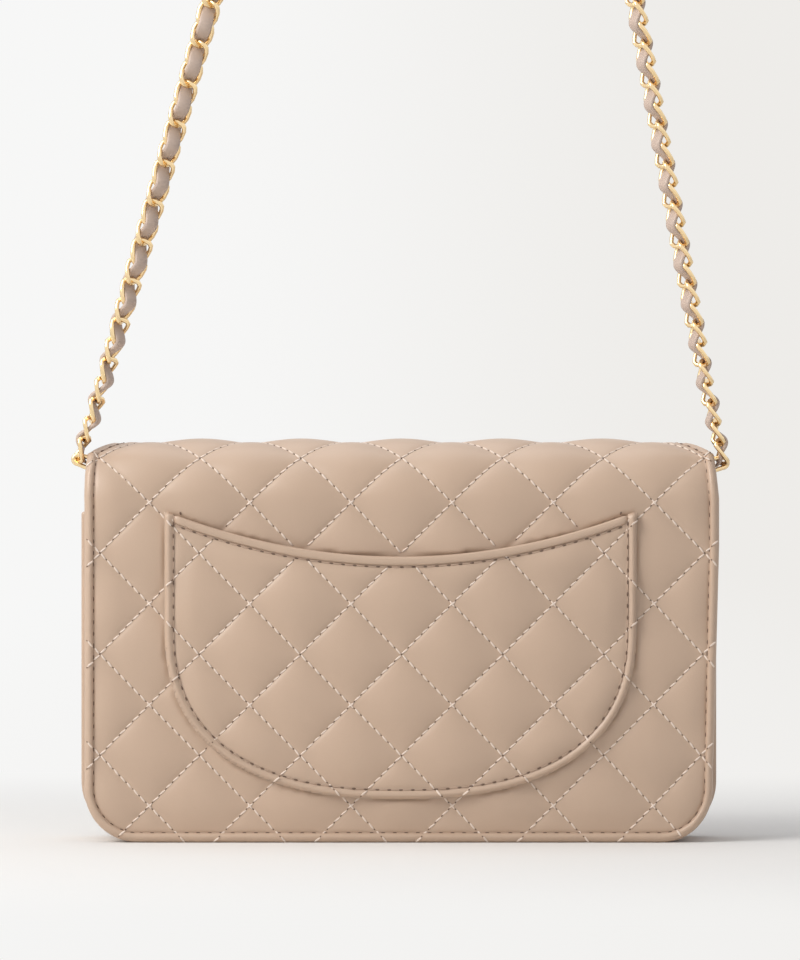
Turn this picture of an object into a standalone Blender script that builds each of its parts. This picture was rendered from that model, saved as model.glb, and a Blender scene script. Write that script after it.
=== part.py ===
# Quilted shoulder bag on a chain strap, standing upright.
# +Z is up, +X runs across the bag and the back of the bag faces -Y.
# The origin is on the ground under the middle of the bag, and every size is in metres.

import math

import bmesh
import bpy
from mathutils import Matrix, Vector

# Driving sizes of the body
BAG_WIDTH = 0.193
BAG_DEPTH = 0.035
BAG_HEIGHT = 0.1215
CORNER_RADIUS = 0.017
SEAT_GAP = 0.0003

# The roll over the top, whose ends are cut in to let the chain pass
CREST_CUT = 0.009
CREST_LIP = 0.0006
SHOULDER_CUT = 0.00225
shoulder_start_share = 0.5

# Thickness of each layer
PANEL_THICKNESS = 0.003
FRONT_THICKNESS = 0.0024
BOARD_THICKNESS = 0.001
LINING_THICKNESS = 0.0006
PLY_THICKNESS = 0.0005

# Front wall, and the flap over it
FRONT_OVERHANG = 0.0008
FRONT_DROP = 0.004
FLAP_TIP_HEIGHT = 0.024
FLAP_TIP_RADIUS = 0.024
LAYER_INSET = 0.004

# Side walls and base
GUSSET_INSET = 0.0023
GUSSET_THICKNESS = 0.001
GUSSET_FOLD = 0.003
GUSSET_CORNER_RADIUS = 0.015

# Half-moon pocket on the back
POCKET_WIDTH = 0.1434
POCKET_SIDE_HEIGHT = 0.0658
POCKET_BOTTOM_HEIGHT = 0.013
POCKET_MOUTH_HEIGHT = 0.0866
POCKET_CORNER_HEIGHT = 0.1005
POCKET_THICKNESS = 0.0018
POCKET_BULGE = 0.0015
BINDING_HEIGHT = 0.0027
BINDING_THICKNESS = 0.0024
pocket_roundness = 2.45

# Zip pocket in the middle of the bag, and the card slots on its front
INNER_SIDE_GAP = 0.007
ZIP_CENTRE_Y = -0.0033
ZIP_POCKET_SPACE = 0.0048
ZIP_DROP = 0.0068
TAPE_WIDTH = 0.0022
TAPE_THICKNESS = 0.0005
TEETH_WIDTH = 0.0011
TEETH_HEIGHT = 0.0012
TEETH_GAP = 0.0016
ZIP_LENGTH = 0.150
STOP_LENGTH = 0.0025
SLOT_TOP_HEIGHT = 0.080
SLOT_STEP = 0.014

# Zip slider and its pull
SLIDER_LENGTH = 0.007
SLIDER_WIDTH = 0.0048
SLIDER_PLATE = 0.0008
SLIDER_REST_X = 0.068
BAIL_SPAN = 0.0046
BAIL_HEIGHT = 0.0021
BAIL_WIRE = 0.0004
PULL_LENGTH = 0.012
PULL_WIDTH = 0.004
PULL_THICKNESS = 0.0008
PULL_BAR = 0.0008
PULL_SLOT_LENGTH = 0.0034
PULL_SLOT_WIDTH = 0.0016

# Snap fastener
SNAP_HEIGHT = 0.052
SOCKET_RADIUS = 0.006
SOCKET_BORE = 0.0029
SOCKET_NECK_RADIUS = 0.0042
SOCKET_NECK_LENGTH = 0.0014
WASHER_RADIUS = 0.0065
WASHER_THICKNESS = 0.0005
STUD_BASE_RADIUS = 0.007
STUD_RADIUS = 0.0021
STUD_LENGTH = 0.0016

# Strap anchors: an oval wire loop held in a leather tab at each end of the roll
STRAP_REACH = 0.0008
STRAP_PIVOT_Y = -0.007
STRAP_PIVOT_DROP = 0.0062
LOOP_WIRE = 0.0007
LOOP_HEIGHT = 0.0054
LOOP_TUCK = 0.0115
LOOP_REACH = 0.0034
LOOP_CLEARANCE = 0.0006
TAB_WIDTH = 0.0045
TAB_THICKNESS = 0.001
TAB_LENGTH = 0.012

# Chain strap, a curb chain with a leather lace through its links
STRAP_LEAN_DEG = 12.0
LEFT_LEG_SLOPE = 0.2905
RIGHT_LEG_SLOPE = 0.194
STRAP_TOP_RADIUS = 0.0135
LINK_PITCH = 0.0062
LINK_WIDTH = 0.0057
LINK_RISE = 0.0008
LINK_WIRE = 0.00065
LACE_WIDTH = 0.0035
LACE_THICKNESS = 0.0011
LACE_CLEARANCE = 0.00035
PLAIN_FOOT_LENGTH = 0.010
TURNED_FROM_LENGTH = 0.150
TURNED_TO_LENGTH = 0.210
PLAIN_FROM_LENGTH = 0.330
LEG_TWIST_DEG = 75.0
link_overlap_share = 0.55

# Fineness of the meshes
PANEL_COLUMNS = 2
GUSSET_COLUMNS = 4
POCKET_COLUMNS = 24
POCKET_ROWS = 6
CORNER_STEPS = 5
ROLL_STEPS = 8
LINK_POINTS = 8
LINKS_BEFORE_TOP = 4
LACE_STEPS_PER_LINK = 3
TURNED_STEPS = 24
MERGE_DISTANCE = 0.000003

# Colours, roughness and metallic value of each finish
LEATHER = ("leather", (0.56, 0.41, 0.30), 0.45, 0.0)
LACE_LEATHER = ("lace_leather", (0.50, 0.38, 0.29), 0.5, 0.0)
LINING = ("lining", (0.48, 0.36, 0.27), 0.7, 0.0)
BOARD = ("board", (0.55, 0.50, 0.42), 0.9, 0.0)
GOLD = ("gold", (0.87, 0.62, 0.28), 0.2, 1.0)
TAPE = ("tape", (0.45, 0.34, 0.26), 0.85, 0.0)

# Places worked out from the sizes
HALF_DEPTH = BAG_DEPTH / 2
HALF_WIDTH = BAG_WIDTH / 2
CREST_WIDTH = BAG_WIDTH - 2 * CREST_CUT
SHOULDER_WIDTH = BAG_WIDTH - 2 * SHOULDER_CUT
FRONT_WIDTH = BAG_WIDTH + 2 * FRONT_OVERHANG
INNER_WIDTH = BAG_WIDTH - 2 * INNER_SIDE_GAP
STRAP_PIVOT_X = HALF_WIDTH + STRAP_REACH
STRAP_PIVOT_Z = BAG_HEIGHT - STRAP_PIVOT_DROP
LOOP_INNER_X = HALF_WIDTH - LOOP_TUCK
LOOP_OUTER_X = HALF_WIDTH + LOOP_REACH
ROLL_HEIGHT = BAG_HEIGHT - HALF_DEPTH
FRONT_HEIGHT = ROLL_HEIGHT - FRONT_DROP
ZIP_POCKET_HEIGHT = ROLL_HEIGHT - ZIP_DROP
CREST_GAP_ANGLE = SEAT_GAP / 2 / HALF_DEPTH
LIP_ANGLE = CREST_LIP / HALF_DEPTH
BOARD_INSET = PANEL_THICKNESS + SEAT_GAP
LINING_INSET = BOARD_INSET + BOARD_THICKNESS + SEAT_GAP
INNER_BACK_Y = -(HALF_DEPTH - LINING_INSET - LINING_THICKNESS)
FRONT_Y = HALF_DEPTH - LINING_INSET - LINING_THICKNESS - SEAT_GAP
FRONT_LINING_Y = FRONT_Y - FRONT_THICKNESS - SEAT_GAP
INNER_FRONT_Y = FRONT_LINING_Y - LINING_THICKNESS
FLOOR_HEIGHT = GUSSET_THICKNESS + SEAT_GAP
INNER_FLOOR = FLOOR_HEIGHT + BOARD_THICKNESS + SEAT_GAP


def new_collection(name):
    """Adds a collection to the scene."""
    collection = bpy.data.collections.new(name)
    bpy.context.scene.collection.children.link(collection)
    return collection


def clear_scene():
    """Removes the objects that are in the scene."""
    for thing in list(bpy.data.objects):
        bpy.data.objects.remove(thing, do_unlink=True)


clear_scene()
BAG = new_collection("quilted_shoulder_bag")
CUTTERS = new_collection("cutters")


def finish(spec):
    """Returns the material of a finish, made the first time it is asked for."""
    name, colour, roughness, metallic = spec
    material = bpy.data.materials.get(name)
    if material is None:
        material = bpy.data.materials.new(name)
        material.use_nodes = True
        shader = material.node_tree.nodes["Principled BSDF"]
        shader.inputs["Base Color"].default_value = (*colour, 1.0)
        shader.inputs["Roughness"].default_value = roughness
        shader.inputs["Metallic"].default_value = metallic
        material.diffuse_color = (*colour, 1.0)
    return material


def add_object(name, data, spec, collection=None):
    """Places new object data in the bag's collection with its own finish."""
    thing = bpy.data.objects.new(name, data)
    (collection or BAG).objects.link(thing)
    data.materials.append(finish(spec))
    return thing


def object_from_bmesh(name, shape, spec, collection=None):
    """Turns a finished bmesh into an object."""
    bmesh.ops.recalc_face_normals(shape, faces=shape.faces)
    mesh = bpy.data.meshes.new(name)
    shape.to_mesh(mesh)
    shape.free()
    return add_object(name, mesh, spec, collection)


def solidify(thing, thickness, offset=-1.0):
    """Gives an open surface its thickness, inwards from the outer face."""
    wall = thing.modifiers.new("thickness", "SOLIDIFY")
    wall.thickness = thickness
    wall.offset = offset
    wall.use_even_offset = True
    return thing


def boolean(thing, cutter, operation="DIFFERENCE"):
    """Cuts a piece with a cutter, or joins the cutter to it."""
    step = thing.modifiers.new("cut", "BOOLEAN")
    step.operation = operation
    step.object = cutter
    step.solver = "EXACT"
    cutter.hide_render = True
    cutter.display_type = "WIRE"
    return thing


def smooth_step(share):
    """A smooth climb from 0 to 1."""
    share = min(max(share, 0.0), 1.0)
    return share * share * (3 - 2 * share)


def spread(start, end, steps):
    """Evenly spaced values from start to end."""
    return [start + (end - start) * index / steps for index in range(steps + 1)]


# Outlines

def rounded_half_width(height, half_width, bottom, radius):
    """Half the width of a panel with rounded lower corners, at a height."""
    rise = height - bottom
    if rise >= radius:
        return half_width
    return half_width - radius + math.sqrt(max(radius ** 2 - (radius - rise) ** 2, 0.0))


def shoulder_half_width(angle):
    """Half the width of the leather on the roll, cut in towards the crest."""
    up_share = math.sin(angle)
    lean = math.acos(abs(math.cos(angle))) / (math.pi / 2)
    waist = smooth_step((lean - shoulder_start_share) / (1 - shoulder_start_share))
    side = HALF_WIDTH + (SHOULDER_WIDTH / 2 - HALF_WIDTH) * up_share
    return side + (CREST_WIDTH / 2 - SHOULDER_WIDTH / 2) * waist


def corner_heights(bottom, radius, top):
    """Heights that follow a rounded lower corner evenly, and then the top."""
    turns = spread(0.0, math.pi / 2, CORNER_STEPS)
    return [bottom + radius * (1 - math.cos(turn)) for turn in turns] + [top]


class Station:
    """A line across a sheet: its point on the bag's outer face, normal and half width."""

    def __init__(self, y, z, normal_y, normal_z, half_width):
        self.y = y
        self.z = z
        self.normal_y = normal_y
        self.normal_z = normal_z
        self.half_width = half_width

    def point(self, share, inset, centre_x=0.0):
        x = centre_x + share * self.half_width
        return Vector((x, self.y - self.normal_y * inset, self.z - self.normal_z * inset))


def back_stations(bottom, top, half_width, radius):
    """Stations up the flat back."""
    heights = corner_heights(bottom, radius, top)
    return [
        Station(-HALF_DEPTH, height, -1.0, 0.0, rounded_half_width(height, half_width, bottom, radius))
        for height in heights
    ]


def front_stations(bottom, top, half_width, radius, face_y):
    """Stations down a flat front."""
    heights = corner_heights(bottom, radius, top)
    return [
        Station(face_y, height, 1.0, 0.0, rounded_half_width(height, half_width, bottom, radius))
        for height in reversed(heights)
    ]


def roll_stations(angles):
    """Stations round the roll, at angles from the back at 0 to the front at pi."""
    return [
        Station(
            -HALF_DEPTH * math.cos(angle),
            ROLL_HEIGHT + HALF_DEPTH * math.sin(angle),
            -math.cos(angle),
            math.sin(angle),
            shoulder_half_width(angle),
        )
        for angle in angles
    ]


def sheet(name, stations, inset, thickness, spec, columns=PANEL_COLUMNS, centre_x=0.0):
    """A layer of leather, board or lining that follows its stations."""
    rows = len(stations) - 1
    shape = bmesh.new()
    bmesh.ops.create_grid(shape, x_segments=columns, y_segments=rows, size=1.0)
    for vertex in shape.verts:
        station = stations[round((vertex.co.y + 1) / 2 * rows)]
        vertex.co = station.point(vertex.co.x, inset, centre_x)
    mesh = bpy.data.meshes.new(name)
    shape.to_mesh(mesh)
    shape.free()
    return solidify(add_object(name, mesh, spec), thickness)


def upright_sheet(name, face_y, facing, bottom, top, half_width, radius, thickness, spec):
    """A flat upright layer whose outer face is at face_y."""
    heights = corner_heights(bottom, radius, top)
    stations = [
        Station(face_y, height, facing, 0.0, rounded_half_width(height, half_width, bottom, radius))
        for height in heights
    ]
    if facing > 0:
        stations.reverse()
    return sheet(name, stations, 0.0, thickness, spec)


# Body panels

def layer_outline(half_width, radius):
    """Half width and corner radius of a layer that lies inside a panel's edge."""
    return half_width - LAYER_INSET, radius - LAYER_INSET


def make_back():
    """Quilted back that climbs over the roll to its crest, its board and its lining."""
    outer = back_stations(0.0, ROLL_HEIGHT, HALF_WIDTH, CORNER_RADIUS)
    crest = math.pi / 2 - CREST_GAP_ANGLE
    outer += roll_stations(spread(0.0, crest - LIP_ANGLE, ROLL_STEPS)[1:] + [crest])
    sheet("back_panel", outer, 0.0, PANEL_THICKNESS, LEATHER)
    half_width, radius = layer_outline(HALF_WIDTH, CORNER_RADIUS)
    inner = back_stations(FLOOR_HEIGHT, ROLL_HEIGHT - LAYER_INSET, half_width, radius)
    sheet("back_board", inner, BOARD_INSET, BOARD_THICKNESS, BOARD)
    inner = back_stations(FLOOR_HEIGHT, ROLL_HEIGHT, half_width, radius)
    sheet("back_lining", inner, LINING_INSET, LINING_THICKNESS, LINING)


def make_front():
    """Front wall of the main compartment and its lining."""
    half_width = FRONT_WIDTH / 2
    panel = upright_sheet(
        "front_panel", FRONT_Y, 1.0, 0.0, FRONT_HEIGHT, half_width, CORNER_RADIUS, FRONT_THICKNESS, LEATHER
    )
    half_width, radius = layer_outline(HALF_WIDTH, CORNER_RADIUS)
    lining = upright_sheet(
        "front_lining", FRONT_LINING_Y, 1.0, FLOOR_HEIGHT, FRONT_HEIGHT, half_width, radius,
        LINING_THICKNESS, LINING,
    )
    boolean(panel, snap_cutter("socket_hole", SOCKET_RADIUS + SEAT_GAP))
    boolean(lining, snap_cutter("neck_hole", SOCKET_NECK_RADIUS + SEAT_GAP))


def make_flap():
    """Flap that starts at the crest and hangs down the front, its board and its lining."""
    crest = math.pi / 2 + CREST_GAP_ANGLE
    outer = roll_stations([crest] + spread(crest + LIP_ANGLE, math.pi, ROLL_STEPS))
    outer += front_stations(FLAP_TIP_HEIGHT, ROLL_HEIGHT, HALF_WIDTH, FLAP_TIP_RADIUS, HALF_DEPTH)[1:]
    sheet("flap_panel", outer, 0.0, PANEL_THICKNESS, LEATHER)
    half_width, radius = layer_outline(HALF_WIDTH, FLAP_TIP_RADIUS)
    tip = FLAP_TIP_HEIGHT + LAYER_INSET
    inner = front_stations(tip, ROLL_HEIGHT - LAYER_INSET, half_width, radius, HALF_DEPTH)
    sheet("flap_board", inner, BOARD_INSET, BOARD_THICKNESS, BOARD)
    inner = front_stations(tip, ROLL_HEIGHT, half_width, radius, HALF_DEPTH)
    lining = sheet("flap_lining", inner, LINING_INSET, LINING_THICKNESS, LINING)
    boolean(lining, snap_cutter("stud_hole", STUD_BASE_RADIUS + SEAT_GAP))


def make_gusset(name, side):
    """Side wall with its inward fold and the rounded lower corner."""
    outer = HALF_WIDTH - GUSSET_INSET
    radius = GUSSET_CORNER_RADIUS
    turns = spread(0.0, math.pi / 2, CORNER_STEPS)
    path = [(outer - radius + radius * math.sin(turn), radius * (1 - math.cos(turn))) for turn in turns]
    normals = [(math.sin(turn), -math.cos(turn)) for turn in turns]
    path.append((outer, (radius + FRONT_HEIGHT) / 2))
    path.append((outer, FRONT_HEIGHT))
    normals += [(1.0, 0.0), (1.0, 0.0)]
    back_y = -(HALF_DEPTH - PANEL_THICKNESS - SEAT_GAP)
    front_y = FRONT_Y - FRONT_THICKNESS - SEAT_GAP
    rows = len(path) - 1
    shape = bmesh.new()
    bmesh.ops.create_grid(shape, x_segments=GUSSET_COLUMNS, y_segments=rows, size=1.0)
    for vertex in shape.verts:
        x, z = path[round((vertex.co.y + 1) / 2 * rows)]
        across = vertex.co.x
        fold = GUSSET_FOLD * (1 - abs(across)) * smooth_step((z - radius) / (FRONT_HEIGHT - radius))
        y = (back_y + front_y) / 2 + across * (front_y - back_y) / 2
        vertex.co = Vector((side * (x - fold), y, z))
    bmesh.ops.recalc_face_normals(shape, faces=shape.faces)
    lowest = min(shape.faces, key=lambda face: face.calc_center_median().z)
    if lowest.normal.z > 0:
        bmesh.ops.reverse_faces(shape, faces=shape.faces)
    mesh = bpy.data.meshes.new(name)
    shape.to_mesh(mesh)
    shape.free()
    solidify(add_object(name, mesh, LEATHER), GUSSET_THICKNESS)


def make_box(name, low, high, spec, collection=None):
    """A box between two corners."""
    low = Vector(low)
    high = Vector(high)
    shape = bmesh.new()
    bmesh.ops.create_cube(shape, size=1.0)
    size = high - low
    bmesh.ops.scale(shape, vec=size, verts=shape.verts)
    bmesh.ops.translate(shape, vec=(low + high) / 2, verts=shape.verts)
    return object_from_bmesh(name, shape, spec, collection)


def make_base():
    """Bottom strip between the two side walls, and its stiffener."""
    half_width = HALF_WIDTH - GUSSET_INSET - GUSSET_CORNER_RADIUS - SEAT_GAP
    back_y = -(HALF_DEPTH - PANEL_THICKNESS - SEAT_GAP)
    front_y = FRONT_Y - FRONT_THICKNESS - SEAT_GAP
    make_box("base_panel", (-half_width, back_y, 0.0), (half_width, front_y, GUSSET_THICKNESS), LEATHER)
    board_back = INNER_BACK_Y + SEAT_GAP
    board_front = INNER_FRONT_Y - SEAT_GAP
    make_box(
        "base_board",
        (-half_width, board_back, FLOOR_HEIGHT),
        (half_width, board_front, FLOOR_HEIGHT + BOARD_THICKNESS),
        BOARD,
    )


# Back pocket

def pocket_mouth(x):
    """Height of the mouth's curve."""
    climb = (POCKET_CORNER_HEIGHT - POCKET_MOUTH_HEIGHT) * (2 * x / POCKET_WIDTH) ** 2
    return POCKET_MOUTH_HEIGHT + climb


def pocket_bottom(x):
    """Height of the pocket's lower outline, a rounded half moon."""
    across = min(abs(2 * x / POCKET_WIDTH), 1.0)
    drop = POCKET_SIDE_HEIGHT - POCKET_BOTTOM_HEIGHT
    return POCKET_SIDE_HEIGHT - drop * (1 - across ** pocket_roundness) ** (1 / pocket_roundness)


def pocket_sheet(name, low_edge, high_edge, rows, thickness, spec):
    """A layer on the back that is seated at its rim and stands off in the middle."""
    shape = bmesh.new()
    bmesh.ops.create_grid(shape, x_segments=POCKET_COLUMNS, y_segments=rows, size=1.0)
    for vertex in shape.verts:
        x = POCKET_WIDTH / 2 * math.sin(vertex.co.x * math.pi / 2)
        share = (vertex.co.y + 1) / 2
        z = low_edge(x) + (high_edge(x) - low_edge(x)) * share
        height = (z - pocket_bottom(x)) / (POCKET_MOUTH_HEIGHT - POCKET_BOTTOM_HEIGHT)
        bulge = POCKET_BULGE * math.cos(vertex.co.x * math.pi / 2) * smooth_step(height)
        vertex.co = Vector((x, -HALF_DEPTH - SEAT_GAP - thickness - bulge, z))
    mesh = bpy.data.meshes.new(name)
    shape.to_mesh(mesh)
    shape.free()
    solidify(add_object(name, mesh, spec), thickness)


def make_back_pocket():
    """Half-moon slip pocket and the binding along its mouth."""
    seam = BINDING_HEIGHT + SEAT_GAP
    pocket_sheet(
        "back_pocket", pocket_bottom, lambda x: pocket_mouth(x) - seam, POCKET_ROWS,
        POCKET_THICKNESS, LEATHER,
    )
    pocket_sheet(
        "back_pocket_binding", lambda x: pocket_mouth(x) - BINDING_HEIGHT, pocket_mouth, 1,
        BINDING_THICKNESS, LEATHER,
    )


# Inside of the bag

def make_zip_pocket():
    """Flat pocket in the middle with a zip along its top."""
    half_space = ZIP_POCKET_SPACE / 2
    radius = CORNER_RADIUS - LAYER_INSET
    rear_y = ZIP_CENTRE_Y - half_space - LINING_THICKNESS
    front_y = ZIP_CENTRE_Y + half_space + LINING_THICKNESS
    for name, face_y, facing in (("zip_pocket_rear", rear_y, -1.0), ("zip_pocket_front", front_y, 1.0)):
        upright_sheet(
            name, face_y, facing, INNER_FLOOR, ZIP_POCKET_HEIGHT, INNER_WIDTH / 2, radius,
            LINING_THICKNESS, LINING,
        )
    tape_low = ZIP_POCKET_HEIGHT + SEAT_GAP
    tape_high = tape_low + TAPE_THICKNESS
    centre = (tape_low + tape_high + SEAT_GAP) / 2
    for name, facing in (("rear", -1.0), ("front", 1.0)):
        outer = ZIP_CENTRE_Y + facing * (half_space + LINING_THICKNESS)
        inner = outer - facing * TAPE_WIDTH / 2
        make_box(
            "zip_tape_" + name,
            (-INNER_WIDTH / 2, min(outer, inner), tape_low),
            (INNER_WIDTH / 2, max(outer, inner), tape_high),
            TAPE,
        )
        near = ZIP_CENTRE_Y + facing * TEETH_GAP / 2
        far = inner - facing * SEAT_GAP
        make_box(
            "zip_teeth_" + name,
            (-ZIP_LENGTH / 2, min(near, far), centre - TEETH_HEIGHT / 2),
            (ZIP_LENGTH / 2, max(near, far), centre + TEETH_HEIGHT / 2),
            GOLD,
        )
    for name, side in (("left", -1.0), ("right", 1.0)):
        near = side * (ZIP_LENGTH / 2 + SEAT_GAP)
        far = near + side * STOP_LENGTH
        make_box(
            "zip_stop_" + name,
            (min(near, far), ZIP_CENTRE_Y - half_space, tape_high + SEAT_GAP),
            (max(near, far), ZIP_CENTRE_Y + half_space, tape_high + SEAT_GAP + TEETH_HEIGHT / 2),
            GOLD,
        )
    return centre


def make_zip_slider(teeth_centre):
    """Slider with its bail, and the pull whose end bar turns in the bail."""
    gap = TEETH_HEIGHT / 2 + SEAT_GAP
    low = teeth_centre - gap - SLIDER_PLATE
    top = teeth_centre + gap + SLIDER_PLATE
    half_length = SLIDER_LENGTH / 2
    neck = TEETH_GAP / 2 - SEAT_GAP
    half_width = SLIDER_WIDTH / 2
    plate_half = TEETH_GAP / 2 + TEETH_WIDTH / 2
    centre_x = SLIDER_REST_X
    slider = make_box(
        "zip_slider",
        (centre_x - half_length, ZIP_CENTRE_Y - half_width, top - SLIDER_PLATE),
        (centre_x + half_length, ZIP_CENTRE_Y + half_width, top),
        GOLD,
    )
    neck_box = make_box(
        "slider_neck",
        (centre_x - half_length / 2, ZIP_CENTRE_Y - neck, low + SLIDER_PLATE / 2),
        (centre_x + half_length / 2, ZIP_CENTRE_Y + neck, top - SLIDER_PLATE / 2),
        GOLD,
        CUTTERS,
    )
    foot_box = make_box(
        "slider_foot",
        (centre_x - half_length, ZIP_CENTRE_Y - plate_half, low),
        (centre_x + half_length, ZIP_CENTRE_Y + plate_half, low + SLIDER_PLATE),
        GOLD,
        CUTTERS,
    )
    turns = spread(0.0, math.pi, CORNER_STEPS)
    half_span = BAIL_SPAN / 2
    bail_points = [
        (centre_x + half_span * math.cos(turn), ZIP_CENTRE_Y, top + BAIL_HEIGHT * math.sin(turn))
        for turn in turns
    ]
    for end in (0, -1):
        x, y, z = bail_points[end]
        sunk = (x, y, z - SLIDER_PLATE / 2)
        bail_points.insert(0 if end == 0 else len(bail_points), sunk)
    bail = mesh_from_curve(wire_curve("slider_bail", [bail_points], BAIL_WIRE, False, 1), GOLD, CUTTERS)
    for joined in (neck_box, foot_box, bail):
        boolean(slider, joined, "UNION")
    pivot = Vector((centre_x, ZIP_CENTRE_Y, top + SEAT_GAP + PULL_BAR / 2))
    make_pull(pivot)


def outline_curve(name, outlines, thickness, spec, collection=None):
    """A flat plate from closed outlines, the first one outside and the rest holes."""
    curve = bpy.data.curves.new(name, "CURVE")
    curve.dimensions = "2D"
    curve.fill_mode = "BOTH"
    curve.extrude = thickness / 2
    for outline in outlines:
        spline = curve.splines.new("POLY")
        spline.points.add(len(outline) - 1)
        for point, (x, y) in zip(spline.points, outline):
            point.co = (x, y, 0.0, 1.0)
        spline.use_cyclic_u = True
    return add_object(name, curve, spec, collection)


def make_pull(pivot):
    """Flat pull that lies along the zip; the bail passes through its slot."""
    half_bar = PULL_BAR / 2
    half_width = PULL_WIDTH / 2
    end_x = -(PULL_LENGTH - half_bar)
    turns = spread(math.pi / 2, 3 * math.pi / 2, CORNER_STEPS)
    outline = [
        (end_x + half_width + half_width * math.cos(turn), half_width * math.sin(turn)) for turn in turns
    ]
    outline += [(half_bar, -half_width), (half_bar, half_width)]
    slot_end = -half_bar - PULL_SLOT_LENGTH
    half_slot = PULL_SLOT_WIDTH / 2
    slot = [(-half_bar, -half_slot), (-half_bar, half_slot), (slot_end, half_slot), (slot_end, -half_slot)]
    pull = outline_curve("zip_pull", [outline, slot], PULL_THICKNESS, GOLD)
    pull.location = pivot


def make_card_slots():
    """Three stepped plies on the front of the zip pocket."""
    face_y = ZIP_CENTRE_Y + ZIP_POCKET_SPACE / 2 + LINING_THICKNESS
    radius = CORNER_RADIUS - LAYER_INSET
    for index, name in enumerate(("card_slot_high", "card_slot_mid", "card_slot_low")):
        face_y += SEAT_GAP + PLY_THICKNESS
        top = SLOT_TOP_HEIGHT - index * SLOT_STEP
        upright_sheet(name, face_y, 1.0, INNER_FLOOR, top, INNER_WIDTH / 2, radius, PLY_THICKNESS, LINING)


# Snap fastener

def snap_cutter(name, radius):
    """A round cutter through the front, on the snap's axis."""
    shape = bmesh.new()
    bmesh.ops.create_cone(
        shape, cap_ends=True, segments=TURNED_STEPS, radius1=radius, radius2=radius, depth=BAG_DEPTH
    )
    turn = Matrix.Rotation(math.pi / 2, 3, "X")
    bmesh.ops.rotate(shape, cent=(0.0, 0.0, 0.0), matrix=turn, verts=shape.verts)
    bmesh.ops.translate(shape, vec=(0.0, HALF_DEPTH, SNAP_HEIGHT), verts=shape.verts)
    return object_from_bmesh(name, shape, GOLD, CUTTERS)


def turned_piece(name, profile, base_y, spec):
    """A turned piece on the snap's axis; the profile is (radius, distance forward of base_y)."""
    shape = bmesh.new()
    corners = [shape.verts.new((radius, 0.0, forward)) for radius, forward in profile]
    for first, second in zip(corners, corners[1:] + corners[:1]):
        shape.edges.new((first, second))
    bmesh.ops.spin(
        shape,
        geom=list(shape.verts) + list(shape.edges),
        cent=(0.0, 0.0, 0.0),
        axis=(0.0, 0.0, 1.0),
        angle=2 * math.pi,
        steps=TURNED_STEPS,
        use_merge=True,
    )
    bmesh.ops.remove_doubles(shape, verts=shape.verts, dist=MERGE_DISTANCE)
    turn = Matrix.Rotation(-math.pi / 2, 3, "X")
    bmesh.ops.rotate(shape, cent=(0.0, 0.0, 0.0), matrix=turn, verts=shape.verts)
    bmesh.ops.translate(shape, vec=(0.0, base_y, SNAP_HEIGHT), verts=shape.verts)
    return object_from_bmesh(name, shape, spec)


def make_snap():
    """Socket through the front wall, its washer inside, and the stud on the flap's lining."""
    neck_back = -SEAT_GAP - LINING_THICKNESS - SOCKET_NECK_LENGTH
    socket = [
        (SOCKET_BORE, FRONT_THICKNESS),
        (SOCKET_RADIUS, FRONT_THICKNESS),
        (SOCKET_RADIUS, 0.0),
        (SOCKET_NECK_RADIUS, 0.0),
        (SOCKET_NECK_RADIUS, neck_back),
        (SOCKET_BORE, neck_back),
    ]
    turned_piece("snap_socket", socket, FRONT_Y - FRONT_THICKNESS, GOLD)
    hole = SOCKET_NECK_RADIUS + SEAT_GAP
    washer = [
        (hole, WASHER_THICKNESS),
        (WASHER_RADIUS, WASHER_THICKNESS),
        (WASHER_RADIUS, 0.0),
        (hole, 0.0),
    ]
    turned_piece("snap_washer", washer, INNER_FRONT_Y - SEAT_GAP - WASHER_THICKNESS, GOLD)
    base_y = HALF_DEPTH - LINING_INSET - LINING_THICKNESS
    tip = -STUD_LENGTH
    stud = [
        (0.0, LINING_THICKNESS),
        (STUD_BASE_RADIUS, LINING_THICKNESS),
        (STUD_BASE_RADIUS, 0.0),
        (STUD_RADIUS, 0.0),
        (STUD_RADIUS, tip / 2),
        (STUD_RADIUS / 2, tip),
        (0.0, tip),
    ]
    turned_piece("snap_stud", stud, base_y, GOLD)


# Wires, links and the strap

def wire_curve(name, runs, radius, closed, resolution):
    """A curve object with one polyline for each run of points."""
    curve = bpy.data.curves.new(name, "CURVE")
    curve.dimensions = "3D"
    curve.bevel_depth = radius
    curve.bevel_resolution = resolution
    curve.use_fill_caps = True
    for run in runs:
        spline = curve.splines.new("POLY")
        spline.points.add(len(run) - 1)
        for point, place in zip(spline.points, run):
            point.co = (*place, 1.0)
        spline.use_cyclic_u = closed
    return curve


def mesh_from_curve(curve, spec, collection=None):
    """Makes a curve a mesh object, so that Boolean modifiers can use it."""
    holder = bpy.data.objects.new(curve.name + "_path", curve)
    CUTTERS.objects.link(holder)
    bpy.context.view_layer.update()
    evaluated = holder.evaluated_get(bpy.context.evaluated_depsgraph_get())
    mesh = bpy.data.meshes.new_from_object(evaluated)
    shape = bmesh.new()
    shape.from_mesh(mesh)
    bmesh.ops.remove_doubles(shape, verts=shape.verts, dist=MERGE_DISTANCE)
    bmesh.ops.recalc_face_normals(shape, faces=shape.faces)
    shape.to_mesh(mesh)
    shape.free()
    thing = bpy.data.objects.new(curve.name, mesh)
    thing.matrix_world = holder.matrix_world
    (collection or BAG).objects.link(thing)
    mesh.materials.clear()
    mesh.materials.append(finish(spec))
    bpy.data.objects.remove(holder, do_unlink=True)
    return thing


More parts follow.
